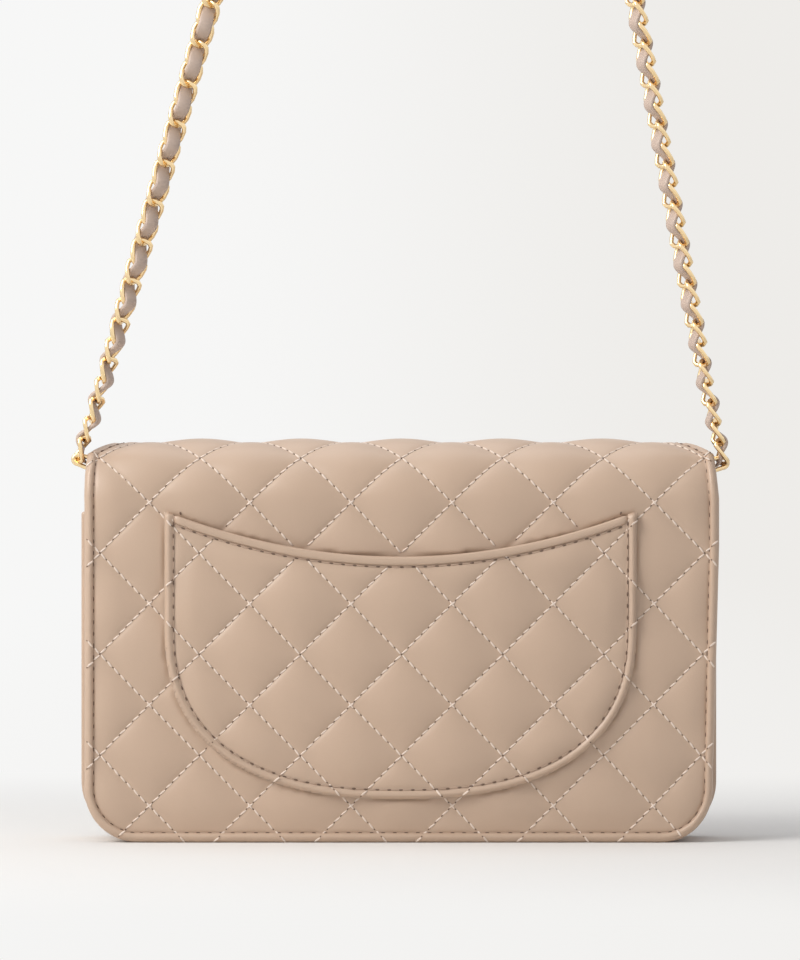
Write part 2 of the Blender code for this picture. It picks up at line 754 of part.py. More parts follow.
def make_anchor(name, side):
    """Oval wire loop that the chain's last link hangs on, and the leather tab that holds it."""
    radius = LOOP_HEIGHT / 2
    middle_z = STRAP_PIVOT_Z - radius
    turns = spread(-math.pi / 2, math.pi / 2, CORNER_STEPS)
    outer = [
        (LOOP_OUTER_X - radius + radius * math.cos(turn), middle_z + radius * math.sin(turn))
        for turn in turns
    ]
    inner = [
        (LOOP_INNER_X + radius - radius * math.cos(turn), middle_z - radius * math.sin(turn))
        for turn in turns
    ]
    ring = [(side * x, STRAP_PIVOT_Y, z) for x, z in outer + inner]
    curve = wire_curve("anchor_loop_" + name, [ring], LOOP_WIRE, True, 1)
    add_object("anchor_loop_" + name, curve, GOLD)
    bar_z = STRAP_PIVOT_Z - LOOP_HEIGHT
    wrap = LOOP_WIRE + SEAT_GAP + TAB_THICKNESS
    low = ROLL_HEIGHT - TAB_LENGTH
    back_y = INNER_BACK_Y + SEAT_GAP
    ply = TAB_THICKNESS + SEAT_GAP
    front_y = back_y + TAB_THICKNESS + ply
    stations = [Station(back_y, low, -1.0, 0.0, TAB_WIDTH / 2)]
    stations.append(Station(back_y, ROLL_HEIGHT - TAB_THICKNESS, -1.0, 0.0, TAB_WIDTH / 2))
    lean = math.atan2(STRAP_PIVOT_Y - wrap - back_y, bar_z - ROLL_HEIGHT)
    for turn in spread(lean, math.pi + lean / 2, CORNER_STEPS + 1):
        away_y = -math.cos(turn)
        away_z = math.sin(turn)
        place_y = STRAP_PIVOT_Y + wrap * away_y
        place_z = bar_z + wrap * away_z
        stations.append(Station(place_y, place_z, away_y, away_z, TAB_WIDTH / 2))
    stations.append(Station(front_y, ROLL_HEIGHT - TAB_THICKNESS, 1.0, 0.0, TAB_WIDTH / 2))
    stations.append(Station(front_y, low, 1.0, 0.0, TAB_WIDTH / 2))
    centre_x = side * (LOOP_INNER_X + radius + TAB_WIDTH / 2 - LOOP_WIRE)
    sheet("anchor_tab_" + name, stations, 0.0, TAB_THICKNESS, LEATHER, columns=1, centre_x=centre_x)


class StrapPath:
    """The strap's line: up the left leg, round the top and down the right leg."""

    def __init__(self):
        left_turn = math.atan(LEFT_LEG_SLOPE)
        right_turn = math.atan(RIGHT_LEG_SLOPE)
        corner_rise = 2 * STRAP_PIVOT_X / (LEFT_LEG_SLOPE + RIGHT_LEG_SLOPE)
        self.left_way = Vector((math.sin(left_turn), math.cos(left_turn)))
        self.right_way = Vector((math.sin(right_turn), -math.cos(right_turn)))
        corner = Vector((-STRAP_PIVOT_X + LEFT_LEG_SLOPE * corner_rise, corner_rise))
        half_angle = (left_turn + right_turn) / 2
        cut = STRAP_TOP_RADIUS / math.tan(half_angle)
        self.left_length = corner_rise / math.cos(left_turn) - cut
        self.right_length = corner_rise / math.cos(right_turn) - cut
        self.arc_angle = math.pi - left_turn - right_turn
        self.arc_length = STRAP_TOP_RADIUS * self.arc_angle
        self.length = self.left_length + self.arc_length + self.right_length
        self.left_foot = Vector((-STRAP_PIVOT_X, 0.0))
        arc_start = corner - self.left_way * cut
        inward = Vector((self.left_way.y, -self.left_way.x))
        self.centre = arc_start + inward * STRAP_TOP_RADIUS
        self.arc_from = -inward
        self.arc_end = corner + self.right_way * cut
        lean = math.radians(STRAP_LEAN_DEG)
        self.up = Vector((0.0, -math.sin(lean), math.cos(lean)))
        self.across = Vector((1.0, 0.0, 0.0))
        self.face = Vector((0.0, -math.cos(lean), -math.sin(lean)))
        self.base = Vector((0.0, STRAP_PIVOT_Y, STRAP_PIVOT_Z))

    def flat_point(self, distance):
        """Place and direction in the strap's own plane, at a distance along it."""
        if distance <= self.left_length:
            return self.left_foot + self.left_way * distance, self.left_way
        past = distance - self.left_length
        if past <= self.arc_length:
            turn = past / STRAP_TOP_RADIUS
            x, y = self.arc_from
            away = Vector(
                (x * math.cos(turn) + y * math.sin(turn), -x * math.sin(turn) + y * math.cos(turn))
            )
            return self.centre + away * STRAP_TOP_RADIUS, Vector((away.y, -away.x))
        return self.arc_end + self.right_way * (past - self.arc_length), self.right_way

    def frame(self, distance):
        """Point, direction, link width direction and link rise direction."""
        place, way = self.flat_point(distance)
        point = self.base + self.across * place.x + self.up * place.y
        tangent = self.across * way.x + self.up * way.y
        sideways = self.across * way.y - self.up * way.x
        turning_length = TURNED_FROM_LENGTH - PLAIN_FOOT_LENGTH
        returning_length = PLAIN_FROM_LENGTH - TURNED_TO_LENGTH
        twisted = smooth_step((distance - PLAIN_FOOT_LENGTH) / turning_length)
        twisted *= 1 - smooth_step((distance - TURNED_TO_LENGTH) / returning_length)
        turn = math.radians(LEG_TWIST_DEG) * twisted
        width = self.face * math.cos(turn) + sideways * math.sin(turn)
        rise = tangent.cross(width)
        return point, tangent, width, rise


STRAP = StrapPath()
LINK_LENGTH = LINK_PITCH + 2 * LINK_WIRE * link_overlap_share
LINK_OFFSET = LINK_LENGTH / 2 - LOOP_WIRE - LINK_WIRE - LOOP_CLEARANCE
JOIN_PITCH = LINK_LENGTH - 2 * LINK_WIRE - SEAT_GAP


def link_runs():
    """Distances of the link centres, in three runs: left leg, top and right leg."""
    span = STRAP.length - 2 * LINK_OFFSET - 2 * JOIN_PITCH
    gaps = 2 * round((span / LINK_PITCH - 1) / 2) + 1
    pitch = span / gaps
    left_gaps = int(STRAP.left_length / pitch) - LINKS_BEFORE_TOP
    right_gaps = int(STRAP.right_length / pitch) - LINKS_BEFORE_TOP
    top_gaps = gaps - left_gaps - right_gaps
    runs = []
    start = LINK_OFFSET
    for count in (left_gaps, top_gaps, right_gaps):
        runs.append([start + pitch * index for index in range(count + 1)])
        start = runs[-1][-1] + JOIN_PITCH
    return runs


def link_points(distance):
    """Closed line of one curb link, twisted so that it lies flat against its neighbours."""
    point, tangent, width, rise = STRAP.frame(distance)
    points = []
    for index in range(LINK_POINTS):
        turn = 2 * math.pi * index / LINK_POINTS
        points.append(
            point
            + tangent * (LINK_LENGTH / 2 * math.cos(turn))
            + width * (LINK_WIDTH / 2 * math.sin(turn))
            + rise * (LINK_RISE * math.sin(2 * turn))
        )
    return points


def make_chain():
    """Three lengths of curb chain; the links of each are joined where they bear on each other."""
    runs = link_runs()
    for name, run in zip(("chain_left", "chain_top", "chain_right"), runs):
        even = [link_points(distance) for distance in run[0::2]]
        odd = [link_points(distance) for distance in run[1::2]]
        chain = mesh_from_curve(wire_curve(name, even, LINK_WIRE, True, 0), GOLD)
        other = mesh_from_curve(wire_curve(name + "_odd_links", odd, LINK_WIRE, True, 0), GOLD, CUTTERS)
        boolean(chain, other, "UNION")
    return [distance for run in runs for distance in run]


def make_lace(links):
    """Leather lace that passes over one junction of the links and under the next."""
    rise_at_junction = LINK_RISE + LINK_WIRE + LACE_CLEARANCE + LACE_THICKNESS / 2
    stations = []
    for index in range(len(links) - 1):
        start = links[index]
        pitch = links[index + 1] - start
        side = -1 if index % 2 == 0 else 1
        for step in range(LACE_STEPS_PER_LINK):
            share = step / LACE_STEPS_PER_LINK
            lift_share = min(math.sin(math.pi * share) / math.sin(math.pi / LACE_STEPS_PER_LINK), 1.0)
            stations.append((start + pitch * share, side * rise_at_junction * lift_share))
    stations.append((links[-1], 0.0))
    rows = len(stations) - 1
    shape = bmesh.new()
    bmesh.ops.create_grid(shape, x_segments=1, y_segments=rows, size=1.0)
    for vertex in shape.verts:
        distance, lift = stations[round((vertex.co.y + 1) / 2 * rows)]
        point, tangent, width, rise = STRAP.frame(distance)
        vertex.co = point + width * (vertex.co.x * LACE_WIDTH / 2) + rise * lift
    mesh = bpy.data.meshes.new("strap_lace")
    shape.to_mesh(mesh)
    shape.free()
    solidify(add_object("strap_lace", mesh, LACE_LEATHER), LACE_THICKNESS, 0.0)


def build():
    """Makes every piece of the bag."""
    make_back()
    make_back_pocket()
    make_front()
    for name, side in (("left", -1.0), ("right", 1.0)):
        make_gusset("gusset_" + name, side)
        make_anchor(name, side)
    make_base()
    teeth_centre = make_zip_pocket()
    make_zip_slider(teeth_centre)
    make_card_slots()
    make_snap()
    make_flap()
    links = make_chain()
    make_lace(links)
    print("strap length", round(STRAP.length, 4), "links", len(links))


build()
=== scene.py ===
# %% [markdown]
# The finish of a quilted shoulder bag on a chain strap.
# The hard facts, such as sizes, joints and clearances, come packed in a fixed frame. This script
# reads that frame and dresses it: stuffed leather, stitches, gold links and a soft studio light.
# Every length is in metres, +Z is up, and the back of the bag, which the camera sees, faces -Y.

# %% Load the fixed frame
import math

import bmesh
import bpy
from mathutils import Matrix, Vector, kdtree


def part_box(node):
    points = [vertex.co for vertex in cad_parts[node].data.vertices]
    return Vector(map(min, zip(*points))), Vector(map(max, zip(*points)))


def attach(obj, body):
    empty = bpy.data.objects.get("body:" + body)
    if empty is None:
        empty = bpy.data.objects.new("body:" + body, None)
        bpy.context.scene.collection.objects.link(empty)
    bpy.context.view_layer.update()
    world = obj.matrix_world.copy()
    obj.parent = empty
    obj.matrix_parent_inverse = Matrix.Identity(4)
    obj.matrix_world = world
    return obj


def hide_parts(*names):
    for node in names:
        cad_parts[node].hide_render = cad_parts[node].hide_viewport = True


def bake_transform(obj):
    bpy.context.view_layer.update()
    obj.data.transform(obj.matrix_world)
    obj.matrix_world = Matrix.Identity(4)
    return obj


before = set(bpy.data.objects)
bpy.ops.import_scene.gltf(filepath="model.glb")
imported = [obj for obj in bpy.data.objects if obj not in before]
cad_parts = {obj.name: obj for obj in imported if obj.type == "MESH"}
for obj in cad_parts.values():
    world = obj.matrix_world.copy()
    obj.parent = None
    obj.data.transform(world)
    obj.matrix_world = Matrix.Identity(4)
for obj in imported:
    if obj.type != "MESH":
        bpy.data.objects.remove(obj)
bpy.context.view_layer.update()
MM = 0.001

# %% [markdown]
# The camera stands level with the middle of the picture, as a product photographer's does.
# A long lens far away keeps the bag's sides straight. The width of the view at the bag's back
# face is known from the size of the bag, so the lens follows from the distance.

# %% Camera
BACK_LOW, BACK_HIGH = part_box("back_panel")
VIEW_HEIGHT = 290.4 * MM
CAMERA_DISTANCE = 1.5
CAMERA_RISE = 109.7 * MM
CAMERA_SHIFT_X = -0.15 * MM

camera = bpy.data.objects.new("camera", bpy.data.cameras.new("camera"))
bpy.context.scene.collection.objects.link(camera)
camera.location = (CAMERA_SHIFT_X, BACK_LOW.y - CAMERA_DISTANCE, CAMERA_RISE)
camera.rotation_euler = (math.pi / 2, 0.0, 0.0)
camera.data.lens = camera.data.sensor_width * CAMERA_DISTANCE / VIEW_HEIGHT
camera.data.clip_start = 0.05
bpy.context.scene.camera = camera
print("lens", round(camera.data.lens, 1), "mm")

# %% [markdown]
# Shader maths reads best as plain expressions. A small class wraps a node's socket and overloads
# the operators, so that 1 - mask adds a Math node by itself. Every other kind of node comes from
# one method: its settings go in first, and then its sockets. A recipe holds one material.

# %% Shader helpers
class Value:
    """An output socket that can stand in a sum."""

    def __init__(self, nodes, socket):
        self.nodes = nodes
        self.socket = socket

    def maths(self, operation, first, second):
        return self.nodes.node("ShaderNodeMath", {"operation": operation}, {0: first, 1: second})

    def __add__(self, other):
        return self.maths("ADD", self, other)

    def __radd__(self, other):
        return self.maths("ADD", other, self)

    def __sub__(self, other):
        return self.maths("SUBTRACT", self, other)

    def __rsub__(self, other):
        return self.maths("SUBTRACT", other, self)

    def __mul__(self, other):
        return self.maths("MULTIPLY", self, other)

    def __rmul__(self, other):
        return self.maths("MULTIPLY", other, self)


class Nodes:
    """Adds nodes to a tree and links them."""

    def __init__(self, tree):
        self.tree = tree

    def plug(self, socket, value):
        if isinstance(value, Value):
            self.tree.links.new(value.socket, socket)
        else:
            socket.default_value = value

    def node(self, kind, settings=None, sockets=None, output=0):
        made = self.tree.nodes.new(kind)
        for name, setting in (settings or {}).items():
            setattr(made, name, setting)
        for name, value in (sockets or {}).items():
            self.plug(made.inputs[name], value)
        return Value(self, made.outputs[output])

    def seen(self):
        """1 for rays from the camera or off bright metal, and 0 for light that falls on things."""
        camera_ray = self.node("ShaderNodeLightPath", output="Is Camera Ray")
        glossy_ray = self.node("ShaderNodeLightPath", output="Is Glossy Ray")
        return camera_ray.maths("MAXIMUM", camera_ray, glossy_ray)


class Recipe(Nodes):
    """A material with a Principled shader, built up node by node."""

    def __init__(self, name, colour, roughness, metallic=0.0):
        self.material = bpy.data.materials.new(name)
        self.material.use_nodes = True
        super().__init__(self.material.node_tree)
        self.shader = self.tree.nodes["Principled BSDF"]
        self.colour = (*colour, 1.0)
        self.feed(Base_Color=self.colour, Roughness=roughness, Metallic=metallic)

    def feed(self, **sockets):
        for name, value in sockets.items():
            self.plug(self.shader.inputs[name.replace("_", " ")], value)

    def place(self):
        return self.node("ShaderNodeTexCoord", output="Object")

    def axis(self, name):
        """One coordinate of the place: X, Y or Z."""
        return self.node("ShaderNodeSeparateXYZ", None, {0: self.place()}, name)

    def noise(self, scale, detail=2.0):
        sockets = {"Vector": self.place(), "Scale": scale, "Detail": detail}
        return self.node("ShaderNodeTexNoise", None, sockets)

    def cells(self, scale):
        return self.node("ShaderNodeTexVoronoi", None, {"Vector": self.place(), "Scale": scale})

    def band(self, value, low, high):
        """0 below low, 1 above high and smooth between."""
        settings = {"interpolation_type": "SMOOTHSTEP"}
        return self.node("ShaderNodeMapRange", settings, {"Value": value, "From Min": low, "From Max": high})

    def mix(self, share, first, second):
        sockets = {0: share, 6: first, 7: second}
        return self.node("ShaderNodeMix", {"data_type": "RGBA"}, sockets, output=2)

    def tint(self, share, scale):
        """The base colour, lighter or darker by a scale, where share is 1."""
        other = tuple(channel * scale for channel in self.colour[:3])
        return self.mix(share, self.colour, (*other, 1.0))

    def bump(self, height, distance, strength):
        sockets = {"Height": height, "Distance": distance, "Strength": strength}
        self.feed(Normal=self.node("ShaderNodeBump", None, sockets))


print("shader helpers ready")

# %% [markdown]
# The set is a sheet of pale paper that runs under the bag and curves up behind it, so that no
# edge shows. Close to the bag the paper is lit like the bag and keeps its shadow. Further back
# a camera ray sees a flat pale glow instead, a little brighter on the left as painted light from
# the key's side, and gold reflects the same colour. The wall could be lit with more lamps, but
# those would wash out the bag.

# %% Paper sweep and soft light
PAPER_WIDTH = 9.0
PAPER_FRONT = -4.5
PAPER_BACK = 4.5
CURVE_RADIUS = 0.5
CURVE_STEPS = 24
WALL_HEIGHT = 2.0
HALF_DEPTH = -BACK_LOW.y
FADE_START = 0.08
FADE_END = 0.35
NEAR_START = 0.07
NEAR_END = 0.28
SHADE_LEFT = -0.35
SHADE_RIGHT = 0.45
PAPER_COLOUR = (0.845, 0.837, 0.82)
LEFT_GLOW = (0.93, 0.93, 0.925, 1.0)
RIGHT_GLOW = (0.855, 0.84, 0.815, 1.0)
SKY_COLOUR = (0.97, 0.975, 1.0, 1.0)
SKY_LIGHT = 0.40
SKY_SEEN = 1.0
BAG_MIDDLE = (0.0, 0.0, 0.06)


def lamp(name, size, place, target, power, colour):
    """A square area lamp that looks at a target."""
    data = bpy.data.lights.new(name, "AREA")
    data.shape = "RECTANGLE"
    data.size, data.size_y = size
    data.energy = power
    data.color = colour
    made = bpy.data.objects.new(name, data)
    made.location = place
    made.rotation_euler = (Vector(target) - Vector(place)).to_track_quat("-Z", "Y").to_euler()
    bpy.context.scene.collection.objects.link(made)


def make_paper():
    """A floor that curves up into a wall, from one edge extruded along its profile."""
    shape = bmesh.new()
    left, right = -PAPER_WIDTH / 2, PAPER_WIDTH / 2
    edge = shape.edges.new([shape.verts.new((x, PAPER_FRONT, 0.0)) for x in (left, right)])
    path = []
    for step in range(CURVE_STEPS + 1):
        turn = math.pi / 2 * step / CURVE_STEPS
        rise = CURVE_RADIUS * (1 - math.cos(turn))
        path.append(Vector((0.0, PAPER_BACK + CURVE_RADIUS * math.sin(turn), rise)))
    path.append(Vector((0.0, PAPER_BACK + CURVE_RADIUS, WALL_HEIGHT)))
    last = Vector((0.0, PAPER_FRONT, 0.0))
    strip = [edge]
    for place in path:
        new = bmesh.ops.extrude_edge_only(shape, edges=strip)["geom"]
        strip = [item for item in new if isinstance(item, bmesh.types.BMEdge)]
        moved = [item for item in new if isinstance(item, bmesh.types.BMVert)]
        bmesh.ops.translate(shape, vec=place - last, verts=moved)
        last = place
    bmesh.ops.recalc_face_normals(shape, faces=shape.faces)
    mesh = bpy.data.meshes.new("paper")
    shape.to_mesh(mesh)
    shape.free()
    mesh.shade_smooth()
    paper = bpy.data.objects.new("paper", mesh)
    bpy.context.scene.collection.objects.link(paper)
    return paper


def paper_finish():
    """Matt paper that turns into a flat pale glow for camera and mirror rays, away from the bag."""
    recipe = Recipe("paper", PAPER_COLOUR, 0.9)
    # The glow is brighter on the left and dimmer on the right: painted light from the key's side.
    side = recipe.band(recipe.axis("X"), SHADE_LEFT, SHADE_RIGHT)
    shade = recipe.mix(side, LEFT_GLOW, RIGHT_GLOW)
    glow = recipe.node("ShaderNodeEmission", None, {"Color": shade, "Strength": 1.0})
    depth = recipe.axis("Y")
    behind = recipe.band(depth, FADE_START, FADE_END)
    in_front = recipe.band(0.0 - depth, HALF_DEPTH + NEAR_START, HALF_DEPTH + NEAR_END)
    share = recipe.seen() * (behind + in_front)
    lit = Value(recipe, recipe.shader.outputs[0])
    both = recipe.node("ShaderNodeMixShader", None, {0: share, 1: lit, 2: glow})
    recipe.plug(recipe.tree.nodes["Material Output"].inputs["Surface"], both)
    return recipe.material


make_paper().data.materials.append(paper_finish())
lamp("key", (0.6, 0.7), (-0.80, -0.55, 0.72), BAG_MIDDLE, 9.4, (1.0, 0.985, 0.96))
lamp("fill", (1.2, 1.2), (1.25, -1.15, 0.75), BAG_MIDDLE, 0.4, (0.97, 0.985, 1.0))
lamp("top", (1.4, 1.0), (-0.2, 0.15, 1.5), (0.0, 0.0, 0.0), 6.3, (1.0, 1.0, 1.0))
world = bpy.data.worlds.new("studio")
bpy.context.scene.world = world
world.use_nodes = True
sky = Nodes(world.node_tree)
sky_range = {"Value": sky.seen(), "To Min": SKY_LIGHT, "To Max": SKY_SEEN}
backdrop = world.node_tree.nodes["Background"]
sky.plug(backdrop.inputs["Color"], SKY_COLOUR)
sky.plug(backdrop.inputs["Strength"], sky.node("ShaderNodeMapRange", None, sky_range))
bpy.context.scene.view_settings.view_transform = "Standard"
print("lamps:", [light.name for light in bpy.data.lights])

# %% [markdown]
# The leather is a smooth, lightly glossy lambskin in a warm grey beige. Up close it has a fine
# net of cells and soft pores, and its tone drifts a little from patch to patch. Cell and noise
# textures on object coordinates give all of that without an image. The lace is the same hide,
# but thinner and more matt. The lining is a woven twill in a deeper shade.

# %% Leather, lining and thread finishes
LEATHER_COLOUR = (0.565, 0.408, 0.298)
LACE_COLOUR = (0.55, 0.425, 0.35)
LINING_COLOUR = (0.40, 0.295, 0.22)
THREAD_COLOUR = (0.84, 0.71, 0.61)
EDGE_THREAD_COLOUR = (0.50, 0.36, 0.27)
# Painted shade: the dark of the needle holes, laid on small ellipsoids between the stitches.
HOLE_SHADE_COLOUR = (0.16, 0.10, 0.07)
BOARD_COLOUR = (0.55, 0.50, 0.42)
GOLD_COLOUR = (0.95, 0.72, 0.41)
DRIFT_SCALE = 28.0
PORE_SCALE = 2400.0
GRAIN_SCALE = 1500.0
RIB_SCALE = 9000.0
SLUB_SCALE = 700.0
TWIST_SCALE = 4200.0
STITCH_END_FROM = 0.82


def leather_finish(name, colour, roughness, grain=1.0):
    recipe = Recipe(name, colour, roughness)
    drift = recipe.noise(DRIFT_SCALE, 3.0)
    pores = recipe.cells(PORE_SCALE)
    fine = recipe.noise(GRAIN_SCALE, 3.0)
    recipe.feed(
        Base_Color=recipe.tint(recipe.band(drift, 0.35, 0.7) * 0.6 + pores * (0.25 * grain), 0.93),
        Roughness=recipe.noise(160.0) * 0.12 + (roughness - 0.06),
        Specular_IOR_Level=0.65,
    )
    recipe.bump(pores * 0.6 + fine * 0.4, 0.00006, 0.35 * grain)
    return recipe.material


def cloth_finish(name, colour):
    """Twill: fine slanting ribs and uneven yarn."""
    recipe = Recipe(name, colour, 0.8)
    slant = (recipe.axis("X") + recipe.axis("Z")) * RIB_SCALE
    ribs = recipe.node("ShaderNodeMath", {"operation": "SINE"}, {0: slant})
    slubs = recipe.noise(SLUB_SCALE, 4.0)
    recipe.feed(Base_Color=recipe.tint(recipe.band(ribs, -1.0, 1.0) * 0.5 + slubs * 0.5, 0.72))
    recipe.bump(ribs * 0.5 + slubs, 0.00008, 0.5)
    return recipe.material


def thread_finish(name, colour, end_scale):
    """Twisted thread with painted shade towards its ends, where it dives into its needle holes."""
    recipe = Recipe(name, colour, 0.55)
    ends = recipe.node("ShaderNodeAttribute", {"attribute_name": "stitch_end"}, output=2)
    recipe.feed(Base_Color=recipe.tint(recipe.band(ends, STITCH_END_FROM, 1.0), end_scale))
    recipe.bump(recipe.noise(TWIST_SCALE), 0.00008, 0.6)
    return recipe.material


def gold_finish():
    """Bright plated metal with faint polishing marks."""
    recipe = Recipe("gold", GOLD_COLOUR, 0.16, 1.0)
    haze = recipe.noise(300.0, 3.0)
    recipe.feed(
        Base_Color=recipe.tint(recipe.band(haze, 0.4, 0.75), 0.93),
        Roughness=haze * 0.12 + 0.10,
    )
    recipe.bump(recipe.noise(900.0), 0.00002, 0.25)
    return recipe.material


LEATHER = leather_finish("leather", LEATHER_COLOUR, 0.42)
LACE = leather_finish("lace_leather", LACE_COLOUR, 0.5, 0.2)
TWILL = cloth_finish("lining_twill", LINING_COLOUR)
BOARD = cloth_finish("stiffener", BOARD_COLOUR)
THREAD = thread_finish("pale_thread", THREAD_COLOUR, 0.25)
EDGE_THREAD = thread_finish("edge_thread", EDGE_THREAD_COLOUR, 0.4)
HOLE_SHADE = thread_finish("painted_hole_shade", HOLE_SHADE_COLOUR, 0.6)
GOLD = gold_finish()
print("finishes:", [material.name for material in bpy.data.materials])

# %% [markdown]
# The back, the roll over the top and the flap are one hide. It is easiest to think of it laid
# flat, with x across and s along it from the foot of the back: up the back, half way round the
# roll and down the flap. One function wraps a flat point, and a height off the hide, round the bag.

# %% The hide, laid flat
FLAP_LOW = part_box("flap_panel")[0]
HALF_WIDTH = BACK_HIGH.x
ROLL_HEIGHT = BACK_HIGH.z - HALF_DEPTH
ROLL_LENGTH = math.pi * HALF_DEPTH
HIDE_LENGTH = ROLL_HEIGHT + ROLL_LENGTH + ROLL_HEIGHT - FLAP_LOW.z
HIDE_THICKNESS = 2.9 * MM
BACK_CORNER = 17.0 * MM
FLAP_CORNER = 24.0 * MM
CORNERS = ((BACK_CORNER, 0.0, 1.0), (FLAP_CORNER, HIDE_LENGTH, -1.0))
SHOULDER_CUT = 1.5 * MM
CREST_CUT = 9.0 * MM
KEEP_SHARE = 0.85
WAIST_FROM = 0.60
WAIST_SPAN = 0.34
WAIST_POWER = 0.85
DRAW_POWER = 7
LEFT_DRAWS = ((0, 0.4), (20, 0.8), (103, 0.8), (112, 0.2), (122, 0.0))
RIGHT_DRAWS = ((0, 1.9), (24, 1.8), (36, 1.4), (60, 0.8), (75, 0.4), (90, 0.0), (122, 0.0))


def smooth(share):
    share = min(max(share, 0.0), 1.0)
    return share * share * (3 - 2 * share)


def interpolate(pairs, place):
    """Straight lines between pairs of a place and a value, in millimetres."""
    for (start, first), (end, second) in zip(pairs, pairs[1:]):
        if place <= end * MM:
            share = max(place - start * MM, 0.0) / ((end - start) * MM)
            return (first + (second - first) * share) * MM
    return pairs[-1][1] * MM


def settle(x, s):
    """Draws the sides in a little, as the sewn bag of the picture does, unlike on its two sides."""
    height = min(s, HIDE_LENGTH + FLAP_LOW.z - s)
    draw = interpolate(LEFT_DRAWS if x < 0 else RIGHT_DRAWS, height)
    share = abs(x) / HALF_WIDTH
    return x - math.copysign(draw * share ** DRAW_POWER, x)


def wrap(x, s, height):
    """A point of the hide, at a height off its outer face."""
    x = settle(x, s)
    if s <= ROLL_HEIGHT:
        return Vector((x, -HALF_DEPTH - height, s))
    past = s - ROLL_HEIGHT
    if past <= ROLL_LENGTH:
        turn = past / HALF_DEPTH
        reach = HALF_DEPTH + height
        return Vector((x, -reach * math.cos(turn), ROLL_HEIGHT + reach * math.sin(turn)))
    return Vector((x, HALF_DEPTH + height, ROLL_HEIGHT - (past - ROLL_LENGTH)))


def roll_lean(s):
    """0 where the hide is upright and 1 on the crest."""
    turn = min(max((s - ROLL_HEIGHT) / HALF_DEPTH, 0.0), math.pi)
    return min(turn, math.pi - turn) / (math.pi / 2)


def half_width(s):
    """Half the width of the hide, which is cut in towards the crest."""
    lean = roll_lean(s)
    waist = min(max((lean - WAIST_FROM) / WAIST_SPAN, 0.0), 1.0) ** WAIST_POWER
    return HALF_WIDTH - SHOULDER_CUT * math.sin(lean * math.pi / 2) - (CREST_CUT - SHOULDER_CUT) * waist


def round_corner(across, down):
    """Turns a square corner into a round one, ring by ring."""
    ring = max(across, down)
    turn = math.pi / 4 * min(across, down) / ring
    turn = turn if across >= down else math.pi / 2 - turn
    return ring * math.cos(turn), ring * math.sin(turn)


def hide_place(x, s):
    """Moves a point of a plain rectangle to where it lies inside the hide's outline."""
    side = -1.0 if x < 0 else 1.0
    x = abs(x)
    for radius, foot, way in CORNERS:
        across = x - (HALF_WIDTH - radius)
        down = radius - way * (s - foot)
        if across > 0 and down > 0:
            out, drop = round_corner(across, down)
            return side * (HALF_WIDTH - radius + out), foot + way * (radius - drop)
    keep_from = KEEP_SHARE * HALF_WIDTH
    if x > keep_from:
        x = keep_from + (x - keep_from) * (half_width(s) - keep_from) / (HALF_WIDTH - keep_from)
    return side * x, s


def hide_edge(x, s):
    """The way from a point of the hide to its outline."""
    for radius, foot, way in CORNERS:
        across = abs(x) - (HALF_WIDTH - radius)
        down = radius - way * (s - foot)
        if across > 0 and down > 0:
            return radius - math.hypot(across, down)
    return min(half_width(s) - abs(x), s, HIDE_LENGTH - s)


print("hide", round(2 * HALF_WIDTH / MM), "x", round(HIDE_LENGTH / MM), "mm laid flat")

# %% [markdown]
# Quilting joins the hide to a foam layer along two sets of parallel lines, which leaves a
# diamond puff between them. The height of a puff is a product of two sine waves, one for each
# set, raised to a power below one, so that it rises fast at the seams and is nearly flat in its
# middle. A turned edge runs round the hide and is held by a line of stitches of its own.

# %% Quilting heights
QUILT_PITCH = 30.6 * MM
QUILT_X = 0.3 * MM
QUILT_S = 26.4 * MM
PUFF_HEIGHT = 1.55 * MM
SEAM_DEPTH = 0.6 * MM
PUFF_POWER = 0.64
EDGE_FADE = 9.0 * MM
RIM_WIDTH = 2.9 * MM
RIM_HEIGHT = 1.6 * MM
RIM_FOOT = 1.35 * MM
GROOVE_WIDTH = 0.9 * MM
GROOVE_DEPTH = 0.12 * MM
RIM_LEAN = 0.55
RIM_LEAN_SPAN = 0.12
SEAM_PINCH = 0.2
PINCH_RISE = 3
ROLL_FOOT_SHARE = 0.3


def quilt_share(x, s):
    """0 on a quilting seam and 1 in the middle of a puff."""
    rising = (x - QUILT_X + s - QUILT_S) / QUILT_PITCH
    falling = (x - QUILT_X - s + QUILT_S) / QUILT_PITCH
    return abs(math.sin(math.pi * rising) * math.sin(math.pi * falling)) ** PUFF_POWER


def rim_share(edge, width):
    """The round section of a turned edge: 0 at the rim and at its stitches, 1 between them."""
    share = min(max(edge / width, 0.0), 1.0) * 2 - 1
    return math.sqrt(max(1 - share * share, 0.0))


def puff_share(inside):
    """How full the padding is at a share of the way in from the turned edge."""
    return math.sin(math.pi / 2 * min(inside, 1.0)) ** PUFF_POWER


def groove_depth(edge, width):
    """The shallow groove that the edge stitches pull in beside the turned edge."""
    return GROOVE_DEPTH * max(1 - abs(edge - width) / GROOVE_WIDTH, 0.0)


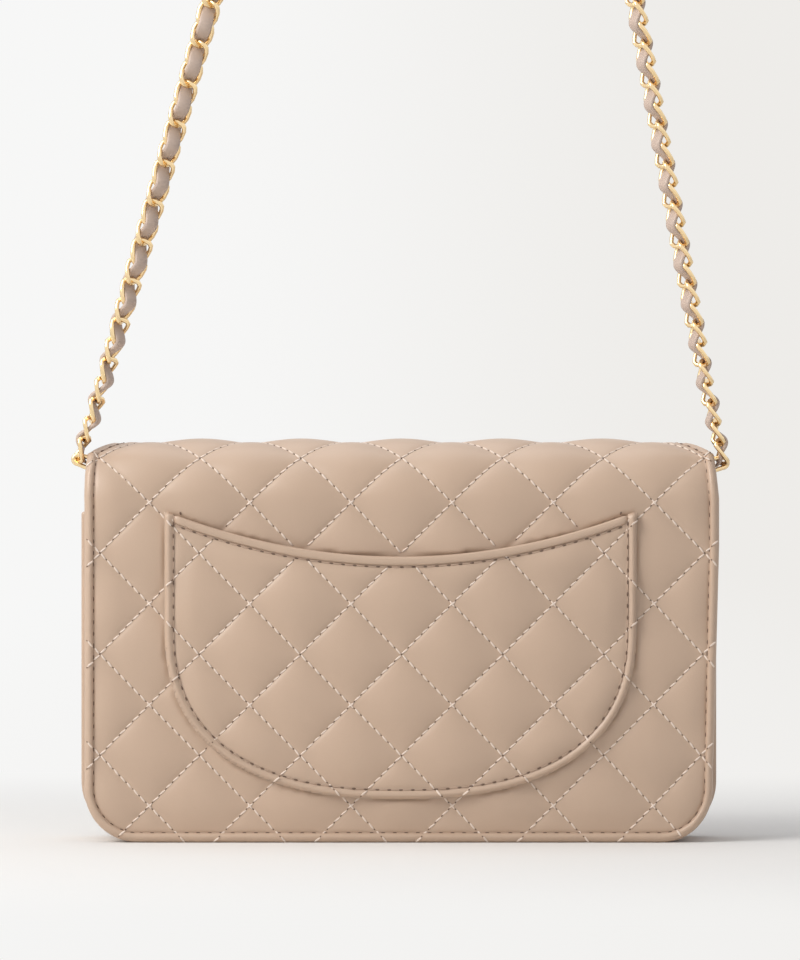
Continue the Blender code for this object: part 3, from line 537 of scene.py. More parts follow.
def hide_height(x, s):
    """Height of the hide's outer face off the flat."""
    edge = hide_edge(x, s)
    rim = 1 - smooth((roll_lean(s) - RIM_LEAN) / RIM_LEAN_SPAN)
    groove = groove_depth(edge, RIM_WIDTH) * rim
    if edge < RIM_WIDTH:
        pinch = SEAM_PINCH * (1 - min(quilt_share(x, s) * PINCH_RISE, 1.0))
        share = edge / RIM_WIDTH
        ridge = RIM_HEIGHT * rim * rim_share(edge, RIM_WIDTH) * (1 - pinch)
        foot = RIM_FOOT * (1 - share) * (ROLL_FOOT_SHARE + (1 - ROLL_FOOT_SHARE) * rim)
        return ridge - foot - SEAM_DEPTH * share - groove
    padding = PUFF_HEIGHT * quilt_share(x, s) * puff_share((edge - RIM_WIDTH) / EDGE_FADE)
    height = padding - SEAM_DEPTH - groove
    if s < MOUTH_END and in_pocket(x, s):
        return min(height, PRESSED_HEIGHT)
    return height


print("quilting pitch", round(QUILT_PITCH / MM, 1), "mm")

# %% [markdown]
# The slip pocket is a half moon: straight at its sides, a rounded curve below and a shallow dip
# along its mouth. A tree of closely spaced points along its sewn outline answers quickly how far
# any point is from it, which tells where the pocket's own turned edge and stitches run.

# %% Pocket outline
BINDING_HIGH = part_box("back_pocket_binding")[1]
POCKET_HALF = BINDING_HIGH.x
POCKET_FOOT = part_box("back_pocket")[0].z
POCKET_SHOULDER = 65.8 * MM
MOUTH_DIP = 86.6 * MM
MOUTH_END = BINDING_HIGH.z
POCKET_ROUNDNESS = 2.45
PRESSED_HEIGHT = -0.3 * MM
OUTLINE_STEPS = 1200
SIDE_STEPS = 100


def mouth_height(x):
    return MOUTH_DIP + (MOUTH_END - MOUTH_DIP) * (x / POCKET_HALF) ** 2


def foot_height(x):
    across = min(abs(x / POCKET_HALF), 1.0)
    fall = (1 - across ** POCKET_ROUNDNESS) ** (1 / POCKET_ROUNDNESS)
    return POCKET_SHOULDER - (POCKET_SHOULDER - POCKET_FOOT) * fall


def pocket_outline():
    """Flat points down the left side, round the foot and up the right side."""
    foot = []
    for step in range(OUTLINE_STEPS + 1):
        x = POCKET_HALF * math.sin((step / OUTLINE_STEPS * 2 - 1) * math.pi / 2)
        foot.append(Vector((x, foot_height(x), 0.0)))
    rise = MOUTH_END - POCKET_SHOULDER
    side = [POCKET_SHOULDER + rise * step / SIDE_STEPS for step in range(SIDE_STEPS + 1)]
    left = [Vector((-POCKET_HALF, z, 0.0)) for z in reversed(side)]
    right = [Vector((POCKET_HALF, z, 0.0)) for z in side]
    return left + foot + right


def point_tree(points):
    tree = kdtree.KDTree(len(points))
    for index, point in enumerate(points):
        tree.insert(point, index)
    tree.balance()
    return tree


POCKET_POINTS = pocket_outline()
POCKET_TREE = point_tree(POCKET_POINTS)


def in_pocket(x, z, top=0.0):
    """True inside the pocket, whose top may lie some way below its mouth."""
    return abs(x) < POCKET_HALF and foot_height(x) < z < mouth_height(x) - top


def pocket_edge(x, z):
    """The way to the pocket's sewn outline."""
    return POCKET_TREE.find((x, z, 0.0))[2]


print("pocket", round(2 * POCKET_HALF / MM), "mm wide")

# %% [markdown]
# The hide starts as a flat grid whose lines pass exactly through the seams. Where a seam crosses
# a face from corner to corner, connect_verts splits the face along the seam, so the valley is a
# crisp row of edges. The grid is wrapped round the bag, and a flat copy of it closes the inside.

# %% Quilted hide
HIDE_CELLS = 30
CELL = QUILT_PITCH / HIDE_CELLS
FLAT_ANGLE = 0.01
ON_SEAM = 0.02
LEAST_STEP_SHARE = 0.4


def ruler(centre, low, high, step, fine=()):
    """Places from low to high, whole steps from a centre, with finer ones beside both ends."""
    margin = (fine[-1] + step / 2) if fine else LEAST_STEP_SHARE * step
    first = math.ceil((low + margin - centre) / step)
    last = math.floor((high - margin - centre) / step)
    places = [centre + step * index for index in range(first, last + 1)]
    return [low] + [low + way for way in fine] + places + [high - way for way in reversed(fine)] + [high]


def grid(columns, rows):
    """A flat grid with a vertex at each pair of a column and a row, and the pair of each vertex."""
    shape = bmesh.new()
    across, along = len(columns) - 1, len(rows) - 1
    bmesh.ops.create_grid(shape, x_segments=across, y_segments=along, size=1.0)
    pairs = {}
    for vertex in shape.verts:
        column = columns[round((vertex.co.x + 1) / 2 * across)]
        pairs[vertex] = column, rows[round((vertex.co.y + 1) / 2 * along)]
    return shape, pairs


def keep(name, shape, material, slot, body, *nodes):
    """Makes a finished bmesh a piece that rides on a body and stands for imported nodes."""
    mesh = bpy.data.meshes.new(name)
    shape.to_mesh(mesh)
    shape.free()
    return keep_mesh(mesh, material, slot, body, *nodes)


def keep_mesh(mesh, material, slot, body, *nodes):
    mesh.shade_smooth()
    piece = bpy.data.objects.new(mesh.name, mesh)
    bpy.context.scene.collection.objects.link(piece)
    mesh.materials.append(material)
    if body:
        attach(piece, body)
    if nodes:
        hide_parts(*nodes)
    print(piece.name, len(mesh.polygons), "faces")
    return piece


def bend_over_roll(piece):
    """Bakes a piece's place into its mesh. It rides on no body, so it does not follow the flap round its
    hinge.
    """
    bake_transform(piece)


def placed(*columns):
    """A matrix from three directions and a place."""
    matrix = Matrix.Identity(4)
    for column, direction in enumerate(columns):
        matrix.col[column] = (*direction, 1.0 if column == 3 else 0.0)
    return matrix


def copies(name, master, matrices):
    """A mesh with a copy of a small bmesh under every matrix, and its stitch ends if it has any."""
    points = [vertex.co.copy() for vertex in master.verts]
    faces = [[vertex.index for vertex in face.verts] for face in master.faces]
    places, polygons = [], []
    for matrix in matrices:
        first = len(places)
        places += [matrix @ point for point in points]
        polygons += [[first + index for index in face] for face in faces]
    mesh = bpy.data.meshes.new(name)
    mesh.from_pydata(places, [], polygons)
    ends = master.verts.layers.float.get("stitch_end")
    if ends:
        values = [vertex[ends] for vertex in master.verts]
        mesh.attributes.new("stitch_end", "FLOAT", "POINT").data.foreach_set("value", values * len(matrices))
    master.free()
    return mesh


def close_back(shape, inner_place):
    """Closes an open skin with a copy of itself whose vertices go to their inner places."""
    verts = list(shape.verts)
    copy = bmesh.ops.duplicate(shape, geom=verts + list(shape.edges) + list(shape.faces))
    twin = {vertex: copy["vert_map"][vertex] for vertex in verts}
    faces = [item for item in copy["geom"] if isinstance(item, bmesh.types.BMFace)]
    for vertex in verts:
        twin[vertex].co = inner_place[vertex]
    bmesh.ops.reverse_faces(shape, faces=faces)
    bmesh.ops.bridge_loops(shape, edges=[edge for edge in shape.edges if edge.is_boundary])
    inner_edges = list(dict.fromkeys(edge for face in faces for edge in face.edges))
    bmesh.ops.dissolve_limit(shape, angle_limit=FLAT_ANGLE, verts=list(twin.values()), edges=inner_edges)


RIM_SHARES = (0.04, 0.14, 0.3, 0.5, 0.7, 0.86, 0.96, 1.0, 1.06, 1.2, 1.4, 1.65)
RIM_LINES = [RIM_WIDTH * share for share in RIM_SHARES]


def make_hide():
    columns = ruler(QUILT_X, -HALF_WIDTH, HALF_WIDTH, CELL, RIM_LINES)
    rows = ruler(QUILT_S, 0.0, HIDE_LENGTH, CELL, RIM_LINES)
    shape, pairs = grid(columns, rows)
    seams = []
    inner = {}
    for vertex, pair in pairs.items():
        x, s = hide_place(*pair)
        if hide_edge(x, s) > RIM_WIDTH and quilt_share(x, s) < ON_SEAM:
            seams.append(vertex)
        vertex.co = wrap(x, s, hide_height(x, s))
        inner[vertex] = wrap(x, s, -HIDE_THICKNESS)
    bmesh.ops.connect_verts(shape, verts=seams)
    close_back(shape, inner)
    return keep("quilted_hide", shape, LEATHER, "quilted_leather", None, "back_panel", "flap_panel")


hide = make_hide()
bend_over_roll(hide)

# %% [markdown]
# The pocket is cut from the same quilted hide, and its seams run on in line with the back's. It
# starts from a piece of the same flat grid. Faces outside the outline are deleted and the
# vertices left along the border snap to the outline, which keeps the seams on mesh edges. The
# middle of the mouth stands a little off the back, and the edge is turned and sewn down.

# %% Back pocket
POCKET_BASE = 2.1 * MM
POCKET_BULGE = 1.3 * MM
POCKET_PUFF = 1.8 * MM
POCKET_RIM = 2.8 * MM
POCKET_RIM_HEIGHT = 2.9 * MM
POCKET_FADE = 7.0 * MM
MOUTH_BAND = 2.7 * MM
MOUTH_TUCK = 2.0 * MM
RIM_TOP = 1.3 * MM
PRESSED_DEPTH = 0.5 * MM
POCKET_CELL = CELL / 1.5
MOUTH_STEPS = 200


def pocket_stand(x, z):
    """How far the pocket stands off the back on the whole."""
    share = smooth((z - foot_height(x)) / (MOUTH_DIP - POCKET_FOOT))
    return POCKET_BASE + POCKET_BULGE * math.cos(math.pi / 2 * min(abs(x / POCKET_HALF), 1.0)) * share


def mouth_tuck(x):
    """How far below the mouth the quilted piece ends: its sewn rim goes on to the very top."""
    return MOUTH_TUCK * smooth((POCKET_HALF - POCKET_RIM - abs(x)) / MM)


def round_off(share):
    """A quarter circle, from 0 at 0 up to 1 at 1, and 1 past that."""
    return math.sqrt(max(1 - (1 - min(share, 1.0)) ** 2, 0.0))


def pocket_height(x, z):
    """Height of the pocket's outer face off the flat back."""
    edge = pocket_edge(x, z)
    top = mouth_height(x) - z
    floor = pocket_stand(x, z) - SEAM_DEPTH
    groove = groove_depth(edge, POCKET_RIM)
    if edge < POCKET_RIM:
        share = edge / POCKET_RIM
        ridge = (POCKET_RIM_HEIGHT - floor * share) * rim_share(edge, POCKET_RIM)
        end = round_off(top / RIM_TOP)
        return (ridge + floor * share) * end - PRESSED_DEPTH * (1 - share) - groove
    inside = min((edge - POCKET_RIM) / POCKET_FADE, max(top - MOUTH_BAND, 0.0) / POCKET_FADE)
    return floor + POCKET_PUFF * quilt_share(x, z) * puff_share(inside) - groove


def mouth_line(drop):
    """Flat points along the mouth, below it by a length that may change along it."""
    places = [POCKET_HALF * (step / MOUTH_STEPS - 1) for step in range(2 * MOUTH_STEPS + 1)]
    return [Vector((x, mouth_height(x) - drop(x), 0.0)) for x in places]


def cut_sheet(columns, rows, inside, outline):
    """A flat grid without the faces outside a shape, its border snapped to the outline's points."""
    shape, pairs = grid(columns, rows)
    for vertex, pair in pairs.items():
        vertex.co = (*pair, 0.0)
    outside = [face for face in shape.faces if not inside(*face.calc_center_median().xy)]
    bmesh.ops.delete(shape, geom=outside, context="FACES")
    tree = point_tree(outline)
    for vertex in shape.verts:
        if vertex.is_boundary:
            vertex.co = tree.find(vertex.co)[0]
    return shape


def make_pocket():
    columns = ruler(QUILT_X, -POCKET_HALF - POCKET_CELL, POCKET_HALF + POCKET_CELL, POCKET_CELL)
    rows = ruler(QUILT_S, POCKET_FOOT - POCKET_CELL, MOUTH_END + POCKET_CELL, POCKET_CELL)
    shape = cut_sheet(
        columns, rows, lambda x, z: in_pocket(x, z, mouth_tuck(x)), POCKET_POINTS + mouth_line(mouth_tuck)
    )
    for vertex in shape.verts:
        if vertex.is_boundary:
            vertex.co.y = min(vertex.co.y, mouth_height(vertex.co.x) - mouth_tuck(vertex.co.x))
    bmesh.ops.connect_verts(shape, verts=[v for v in shape.verts if quilt_share(v.co.x, v.co.y) < ON_SEAM])
    inner = {}
    for vertex in shape.verts:
        x, z = vertex.co.xy
        vertex.co = wrap(x, z, pocket_height(x, z))
        inner[vertex] = wrap(x, z, pocket_stand(x, z) - POCKET_BASE - PRESSED_DEPTH / 2)
    close_back(shape, inner)
    return keep("pocket_pouch", shape, LEATHER, "quilted_leather", "case", "back_pocket")


make_pocket()

# %% [markdown]
# Bands, laces and wires are all a section drawn along a path. The helper bends a flat grid into
# a tube: one direction of the grid goes round the section and the other along the path. Doubles
# are then merged, which closes the tube and, where the section shrinks to a point, its ends.

# %% Tubes along a path
MERGE = 0.002 * MM
ACROSS = Vector((1.0, 0.0, 0.0))
LEVEL = Vector((0.0, 1.0, 0.0))


def tube(shape, frames, section):
    """Adds a tube. A frame is a centre and two directions, already scaled, for the section's points."""
    columns, rows = len(section), len(frames) - 1
    made = bmesh.ops.create_grid(shape, x_segments=columns, y_segments=rows, size=1.0)["verts"]
    for vertex in made:
        column = round((vertex.co.x + 1) / 2 * columns) % columns
        centre, side, up = frames[round((vertex.co.y + 1) / 2 * rows)]
        across, rise = section[column]
        vertex.co = centre + side * across + up * rise
    bmesh.ops.remove_doubles(shape, verts=made, dist=MERGE)


def rounded_section(width, thickness, points, power):
    """A rounded band's section: an ellipse for a power of 1, and squarer for a lower one."""
    section = []
    for index in range(points):
        turn = 2 * math.pi * (index + 0.5) / points
        x, y = math.cos(turn), math.sin(turn)
        section.append((
            width / 2 * math.copysign(abs(x) ** power, x),
            thickness / 2 * math.copysign(abs(y) ** power, y),
        ))
    return section


def finished(shape):
    bmesh.ops.recalc_face_normals(shape, faces=shape.faces)
    return shape


def path_frames(points, side):
    """Frames along points in space, round a closed path too, for sections that keep one side."""
    closed = points[0] == points[-1]
    frames = []
    for index, point in enumerate(points):
        before = points[index - 1] if index else points[-2 if closed else 0]
        after = points[index + 1] if index < len(points) - 1 else points[1 if closed else -1]
        frames.append((point, side, (after - before).normalized().cross(side)))
    return frames


def fill_ends(shape):
    """Closes the open ends of a tube, and turns its faces outwards."""
    bmesh.ops.holes_fill(shape, edges=[edge for edge in shape.edges if edge.is_boundary])
    return finished(shape)


print("tube helpers ready")

# %% [markdown]
# A folded band of plain leather finishes the pocket's mouth. It is a rounded section along the
# mouth's curve, and its ends round off where they meet the turned edge at both sides.

# %% Mouth binding
BAND_DEPTH = 2.3 * MM
BAND_STEPS = 150
BAND_TUCK = 0.3 * MM
BAND_LIFT = 0.15 * MM
BAND_TAPERS = 60.0
BAND_END_SHARE = 0.4


def make_binding():
    shape = bmesh.new()
    frames = []
    for step in range(BAND_STEPS + 1):
        share = step / BAND_STEPS
        x = (POCKET_HALF - POCKET_RIM + BAND_TUCK) * (2 * share - 1)
        z = mouth_height(x) - MOUTH_BAND / 2
        size = round_off(min(share, 1 - share) * BAND_TAPERS)
        stand = pocket_stand(x, z - MOUTH_BAND) - POCKET_BASE + BAND_DEPTH / 2 + BAND_LIFT
        centre = wrap(x, z, stand * (BAND_END_SHARE + (1 - BAND_END_SHARE) * size))
        frames.append((centre, Vector((0.0, 0.0, size)), Vector((0.0, -size, 0.0))))
    tube(shape, frames, rounded_section(MOUTH_BAND, BAND_DEPTH, 14, 0.6))
    keep("mouth_binding", finished(shape), LEATHER, "plain_leather", "case", "back_pocket_binding")


make_binding()

# %% [markdown]
# Thread makes a quilt look sewn. Each stitch is a small ellipsoid that lies in its seam, a
# little askew as lockstitch does, and carries a value that grows towards its ends, where the
# material paints shade on it as in a needle hole. The quilting thread is pale, and a small dark
# ellipsoid of painted shade marks each needle hole between the stitches. The edge stitches sink
# so deep that mostly dark dashes of painted shade show, with leather-coloured thread between them.

# %% Stitches
STITCHES_A_SIDE = 7.5
STITCH_PITCH = QUILT_PITCH / math.sqrt(2) / STITCHES_A_SIDE
STITCH_LENGTH = 2.5 * MM
STITCH_RADIUS = 0.33 * MM
STITCH_FLATNESS = 0.8
STITCH_LIFT = 0.12 * MM
HOLE_LENGTH = 0.55 * MM
HOLE_RADIUS = 0.2 * MM
HOLE_SINK = 0.02 * MM
STITCH_SKEW = 0.12
EDGE_PITCH = 3.5 * MM
EDGE_RADIUS = 0.24 * MM
DASH_LENGTH = 1.3 * MM
DASH_RADIUS = 0.28 * MM
DASH_LIFT = 0.04 * MM
DASH_SHARE = 0.8
SEWN_EDGE = 0.7 * MM
FIRST_SEAM, LAST_SEAM = -16, 23
TACK_X = 67.0 * MM
CORNER_IN, CORNER_UP = 0.4 * MM, 0.9 * MM
CORNER_LENGTH, CORNER_RADIUS, CORNER_LIFT = 1.0 * MM, 0.3 * MM, 0.25 * MM


def stitch_master():
    """A ball of radius 1 that becomes a stitch, with its poles as the ends of the thread."""
    shape = bmesh.new()
    bmesh.ops.create_uvsphere(shape, u_segments=6, v_segments=5, radius=1.0)
    ends = shape.verts.layers.float.new("stitch_end")
    for vertex in shape.verts:
        vertex[ends] = abs(vertex.co.z)
    shape.verts.index_update()
    return shape


class Sewing:
    """Stitches of one kind, gathered as matrices and then made one mesh."""

    def __init__(self, name, material, height, flat_to_space=wrap):
        self.name = name
        self.material = material
        self.matrices = []
        self.height = height
        self.wrap = flat_to_space

    def add(self, centre, way, length, radius, lift, skew=0.0):
        """A stitch at a flat point, along a flat direction."""
        ends = []
        for reach in (-length / 2, length / 2):
            x, s = centre[0] + way[0] * reach, centre[1] + way[1] * reach
            ends.append(self.wrap(x, s, self.height(x, s) + lift))
        out = self.wrap(centre[0], centre[1], MM) - self.wrap(centre[0], centre[1], 0.0)
        middle = self.wrap(centre[0], centre[1], self.height(*centre) + lift)
        along = ends[1] - ends[0]
        side = along.cross(out).normalized()
        along = along + side * (skew * along.length)
        up = along.cross(side).normalized()
        self.matrices.append(placed(side * radius, up * radius * STITCH_FLATNESS, along / 2, middle))

    def sewn(self, slot, body=None):
        return keep_mesh(copies(self.name, stitch_master(), self.matrices), self.material, slot, body)


def seam_points(inside, shift=0.0):
    """Flat places and directions of the stitches along both sets of quilting seams."""
    step = STITCH_PITCH / math.sqrt(2)
    count = int((HIDE_LENGTH + 2 * HALF_WIDTH) / step)
    for lean in (-1, 1):
        for number in range(FIRST_SEAM, LAST_SEAM + 1):
            for index in range(-count, count):
                across = (index + shift) * step
                x = QUILT_X + number * QUILT_PITCH + across
                s = QUILT_S + lean * across
                if abs(x) < HALF_WIDTH and 0.0 < s < HIDE_LENGTH and inside(x, s):
                    yield (x, s), (math.sqrt(0.5), lean * math.sqrt(0.5))


def sew_quilt(name, height, inside):
    """Pale stitches, and dark ellipsoids of painted shade for the needle holes between them."""
    thread = Sewing(name + "_thread", THREAD, height)
    holes = Sewing(name + "_holes", HOLE_SHADE, height)
    for place, way in seam_points(inside, 0.5):
        thread.add(place, way, STITCH_LENGTH, STITCH_RADIUS, STITCH_LIFT, STITCH_SKEW)
    for place, way in seam_points(inside):
        holes.add(place, way, HOLE_LENGTH, HOLE_RADIUS, STITCH_LIFT - HOLE_SINK)
    return thread, holes


def walk(points, pitch):
    """Places and directions at an even pitch along flat points."""
    left = 0.0
    for first, second in zip(points, points[1:]):
        run = (second - first).to_2d()
        length = run.length
        if length == 0.0:
            continue
        way = run / length
        while left < length:
            yield first.to_2d() + way * left, way
            left += pitch
        left -= length


def sew_edge(thread_name, dash_name, seams, height, flat_to_space=wrap):
    """Sunk edge seams: leather-coloured thread, and a dark dash of painted shade for the needle hole between
    each two stitches.
    """
    thread = Sewing(thread_name, EDGE_THREAD, height, flat_to_space)
    dashes = Sewing(dash_name, HOLE_SHADE, height, flat_to_space)
    for points, pitch, lift in seams:
        for number, (place, way) in enumerate(walk(points, pitch / 2)):
            if number % 2:
                dashes.add(place, way, DASH_LENGTH, DASH_RADIUS, lift + DASH_LIFT)
            else:
                thread.add(place, way, pitch - DASH_SHARE * DASH_LENGTH, EDGE_RADIUS, lift)
    return thread, dashes


def shows_on_hide(x, s):
    return hide_edge(x, s) > SEWN_EDGE and not in_pocket(x, s, -MM)


def arc(centre, radius, start, end, steps):
    """Flat points from one angle to another, in degrees."""
    turns = [math.radians(start + (end - start) * step / steps) for step in range(steps + 1)]
    return [(centre[0] + radius * math.cos(turn), centre[1] + radius * math.sin(turn)) for turn in turns]


def hide_seam_line():
    """The flat line of the stitches along the whole edge of the hide."""
    run = arc((HALF_WIDTH - BACK_CORNER, BACK_CORNER), BACK_CORNER - RIM_WIDTH, -90, 0, 12)
    for step in range(1, int((HIDE_LENGTH - BACK_CORNER - FLAP_CORNER) / MM)):
        s = BACK_CORNER + step * MM
        run.append((half_width(s) - RIM_WIDTH, s))
    flap_centre = (HALF_WIDTH - FLAP_CORNER, HIDE_LENGTH - FLAP_CORNER)
    run += arc(flap_centre, FLAP_CORNER - RIM_WIDTH, 0, 90, 12)
    left = [Vector((-x, s, 0.0)) for x, s in run]
    right = [Vector((x, s, 0.0)) for x, s in reversed(run)]
    return left + right + left[:1]


HIDE_SEAM = hide_seam_line()
quilting, quilt_holes = sew_quilt("quilting", hide_height, shows_on_hide)
# A dark mark of painted shade for the needle holes of the tack just above each corner of the pocket's mouth.
for side in (-1, 1):
    corner = (side * (TACK_X - CORNER_IN), mouth_height(TACK_X) + CORNER_UP)
    quilt_holes.add(corner, (0.4 * side, 0.92), CORNER_LENGTH, CORNER_RADIUS, CORNER_LIFT)
edge_seams = [(HIDE_SEAM, EDGE_PITCH, STITCH_LIFT)]
edge_thread, edge_dashes = sew_edge("edge_thread", "edge_needle_holes", edge_seams, hide_height)
for sewing in (quilting, quilt_holes, edge_thread, edge_dashes):
    bend_over_roll(sewing.sewn("quilted_leather"))

# %% [markdown]
# The pocket's own stitches are laid on its own heights. Its quilting seams continue those of the
# hide, an edge seam runs just inside its rim, and another runs below its bound mouth.

# %% Stitches on the pocket
POCKET_EDGE_PITCH = 3.55 * MM
POCKET_EDGE_LIFT = 0.35 * MM
POCKET_SEAM_IN = POCKET_RIM + 0.25 * MM
POCKET_SEAM_DROP = 1.2 * MM
UNDER_BAND = MOUTH_BAND + 0.5 * MM
UNDER_HALF = POCKET_HALF - 4.0 * MM
TACK_LENGTH = 1.7 * MM
TACK_LIFT = 0.3 * MM
TACK_PLACES = ((-1.9, 1.5), (-1.1, 1.1), (0.2, 1.0), (1.0, 1.9))


def shows_on_pocket(x, z):
    return in_pocket(x, z, MOUTH_BAND) and pocket_edge(x, z) > SEWN_EDGE


def pocket_seam_line():
    """The flat line of the stitches just inside the pocket's sewn outline."""
    points = []
    for first, second in zip(POCKET_POINTS, POCKET_POINTS[1:]):
        run = second - first
        if run.length > 0.0:
            points.append(first + Vector((-run.y, run.x, 0.0)).normalized() * POCKET_SEAM_IN)
    return [point for point in points if point.y < mouth_height(point.x) - POCKET_SEAM_DROP]


pocket_quilting, pocket_holes = sew_quilt("pocket_quilting", pocket_height, shows_on_pocket)
for side in (-1, 1):
    for across, down in TACK_PLACES:
        place = (side * (TACK_X - across * MM), mouth_height(TACK_X) - down * MM)
        pocket_quilting.add(place, (0.3 * side, 0.95), TACK_LENGTH, EDGE_RADIUS, TACK_LIFT)
under = [point for point in mouth_line(lambda x: UNDER_BAND) if abs(point.x) < UNDER_HALF]
pocket_seams = [
    (pocket_seam_line(), POCKET_EDGE_PITCH, POCKET_EDGE_LIFT), (under, POCKET_EDGE_PITCH, STITCH_LIFT),
]
pocket_edging = sew_edge("pocket_edge_thread", "pocket_needle_holes", pocket_seams, pocket_height)
for sewing in (pocket_quilting, pocket_holes, *pocket_edging):
    sewing.sewn("quilted_leather", "case")

# %% [markdown]
# The strap is a curb chain: oval links, each twisted a little so that it lies flat against its
# neighbours. First comes the line it follows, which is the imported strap's line with its feet
# spread a little to clear the shoulders, and the slow turn of the links along it.

# %% Strap line
STRAP_BASE = Vector((0.0, -7.0 * MM, 115.3 * MM))
PIVOT_X = 97.3 * MM
STRAP_LEAN = math.radians(12.0)
LEFT_SLOPE = 0.2905
RIGHT_SLOPE = 0.194
TOP_RADIUS = 13.5 * MM
FOOT_SPREAD = 0.9 * MM
FOOT_REACH = 30.0 * MM
LINK_TURNS = (
    (0, 0), (10, -10), (60, -58), (140, -85), (210, -85), (330, 0),
    (440, 0), (560, -35), (700, -35), (752, 0),
)
LINK_SHIFTS = ((0, 2.7), (60, 3.8), (150, 4.4), (600, -1.6), (752, -1.6))
LINK_PITCH = 6.2 * MM
LINK_WIRE = 0.65 * MM
LINK_OVERLAP_SHARE = 0.55
FOOT_HANG = 1.95 * MM
SEAT_GAP = 0.3 * MM
CAD_LINK_LENGTH = LINK_PITCH + 2 * LINK_WIRE * LINK_OVERLAP_SHARE
LINK_OFFSET = CAD_LINK_LENGTH / 2 - FOOT_HANG
JOIN_PITCH = CAD_LINK_LENGTH - 2 * LINK_WIRE - SEAT_GAP
TOP_LINKS = 4


class StrapLine:
    """Up the left leg, round the top and down the right leg."""

    def __init__(self):
        left_turn, right_turn = math.atan(LEFT_SLOPE), math.atan(RIGHT_SLOPE)
        rise = 2 * PIVOT_X / (LEFT_SLOPE + RIGHT_SLOPE)
        self.left_way = Vector((math.sin(left_turn), math.cos(left_turn)))
        self.right_way = Vector((math.sin(right_turn), -math.cos(right_turn)))
        corner = Vector((-PIVOT_X + LEFT_SLOPE * rise, rise))
        cut = TOP_RADIUS / math.tan((left_turn + right_turn) / 2)
        self.left_length = rise / math.cos(left_turn) - cut
        self.right_length = rise / math.cos(right_turn) - cut
        self.arc_length = TOP_RADIUS * (math.pi - left_turn - right_turn)
        self.length = self.left_length + self.arc_length + self.right_length
        inward = Vector((self.left_way.y, -self.left_way.x))
        self.centre = corner - self.left_way * cut + inward * TOP_RADIUS
        self.arc_from = -inward
        self.arc_end = corner + self.right_way * cut
        self.up = Vector((0.0, -math.sin(STRAP_LEAN), math.cos(STRAP_LEAN)))
        self.face = Vector((0.0, -math.cos(STRAP_LEAN), -math.sin(STRAP_LEAN)))

    def flat_point(self, distance):
        if distance <= self.left_length:
            return Vector((-PIVOT_X, 0.0)) + self.left_way * distance, self.left_way
        past = distance - self.left_length
        if past > self.arc_length:
            return self.arc_end + self.right_way * (past - self.arc_length), self.right_way
        turn = past / TOP_RADIUS
        away = Matrix.Rotation(-turn, 2) @ self.arc_from
        return self.centre + away * TOP_RADIUS, Vector((away.y, -away.x))

    def frame(self, distance):
        """Point, tangent, the links' width direction and the way they rise."""
        place, way = self.flat_point(distance)
        spread = smooth(distance / FOOT_REACH) - smooth((self.length - distance) / FOOT_REACH)
        point = STRAP_BASE + ACROSS * (place.x + FOOT_SPREAD * spread) + self.up * place.y
        tangent = ACROSS * way.x + self.up * way.y
        turn = math.radians(interpolate(LINK_TURNS, distance) / MM)
        width = self.face * math.cos(turn) + (ACROSS * way.y - self.up * way.x) * math.sin(turn)
        return point, tangent, width, tangent.cross(width)


STRAP = StrapLine()


def link_places():
    """Distances of the link centres along the strap: a leg, the links over the top, and a leg."""
    span = STRAP.length - 2 * LINK_OFFSET - 2 * JOIN_PITCH
    gaps = 2 * round((span / LINK_PITCH - 1) / 2) + 1
    pitch = span / gaps
    legs = [int(length / pitch) - TOP_LINKS for length in (STRAP.left_length, STRAP.right_length)]
    places, start = [], LINK_OFFSET
    for count in (legs[0], gaps - sum(legs), legs[1]):
        places += [start + pitch * index for index in range(count + 1)]
        start = places[-1] + JOIN_PITCH
    return [place + interpolate(LINK_SHIFTS, place) for place in places]


LINKS = link_places()
print("strap", round(STRAP.length, 3), "m,", len(LINKS), "links")

# %% [markdown]
# One link is modelled once, by spinning a small circle into a ring and stretching and twisting
# that ring. A copy is set at each place along the strap.

# %% Chain links
LINK_LENGTH = 7.6 * MM
LINK_WIDTH = 5.5 * MM
LINK_RISE = 1.3 * MM
LINK_SQUARENESS = 0.82
THICK_WIRE = 0.74 * MM
RING_RADIUS = 3.0 * MM
LINK_STEPS = 14


def make_link():
    """One link: a torus from a spun circle, stretched to an oval and twisted along its length."""
    shape = bmesh.new()
    matrix = Matrix.Translation((RING_RADIUS, 0.0, 0.0)) @ Matrix.Rotation(math.pi / 2, 4, "X")
    bmesh.ops.create_circle(shape, segments=8, radius=THICK_WIRE, matrix=matrix)
    bmesh.ops.spin(
        shape, geom=list(shape.verts) + list(shape.edges), cent=(0.0, 0.0, 0.0), axis=(0.0, 0.0, 1.0),
        angle=2 * math.pi, steps=LINK_STEPS, use_merge=True,
    )
    bmesh.ops.remove_doubles(shape, verts=shape.verts, dist=MERGE)
    for vertex in shape.verts:
        turn = math.atan2(vertex.co.y, vertex.co.x)
        away = vertex.co - Vector((math.cos(turn), math.sin(turn), 0.0)) * RING_RADIUS
        x, y = math.cos(turn), math.sin(turn)
        centre = Vector((
            LINK_LENGTH / 2 * math.copysign(abs(x) ** LINK_SQUARENESS, x),
            LINK_WIDTH / 2 * math.copysign(abs(y) ** LINK_SQUARENESS, y),
            -LINK_RISE * math.sin(2 * turn),
        ))
        vertex.co = centre + away
    shape.verts.index_update()
    return finished(shape)


frames = [STRAP.frame(distance) for distance in LINKS]
matrices = [placed(tangent, width, rise, point) for point, tangent, width, rise in frames]
chain = copies("curb_chain", make_link(), matrices)
keep_mesh(chain, GOLD, "gold_metal", "strap", "chain_left", "chain_top", "chain_right")

# %% [markdown]
# A strip of leather is woven through the chain: over the wires where two links meet, then
# under them at the next place. It bulges between the links because it is stiff for its width.

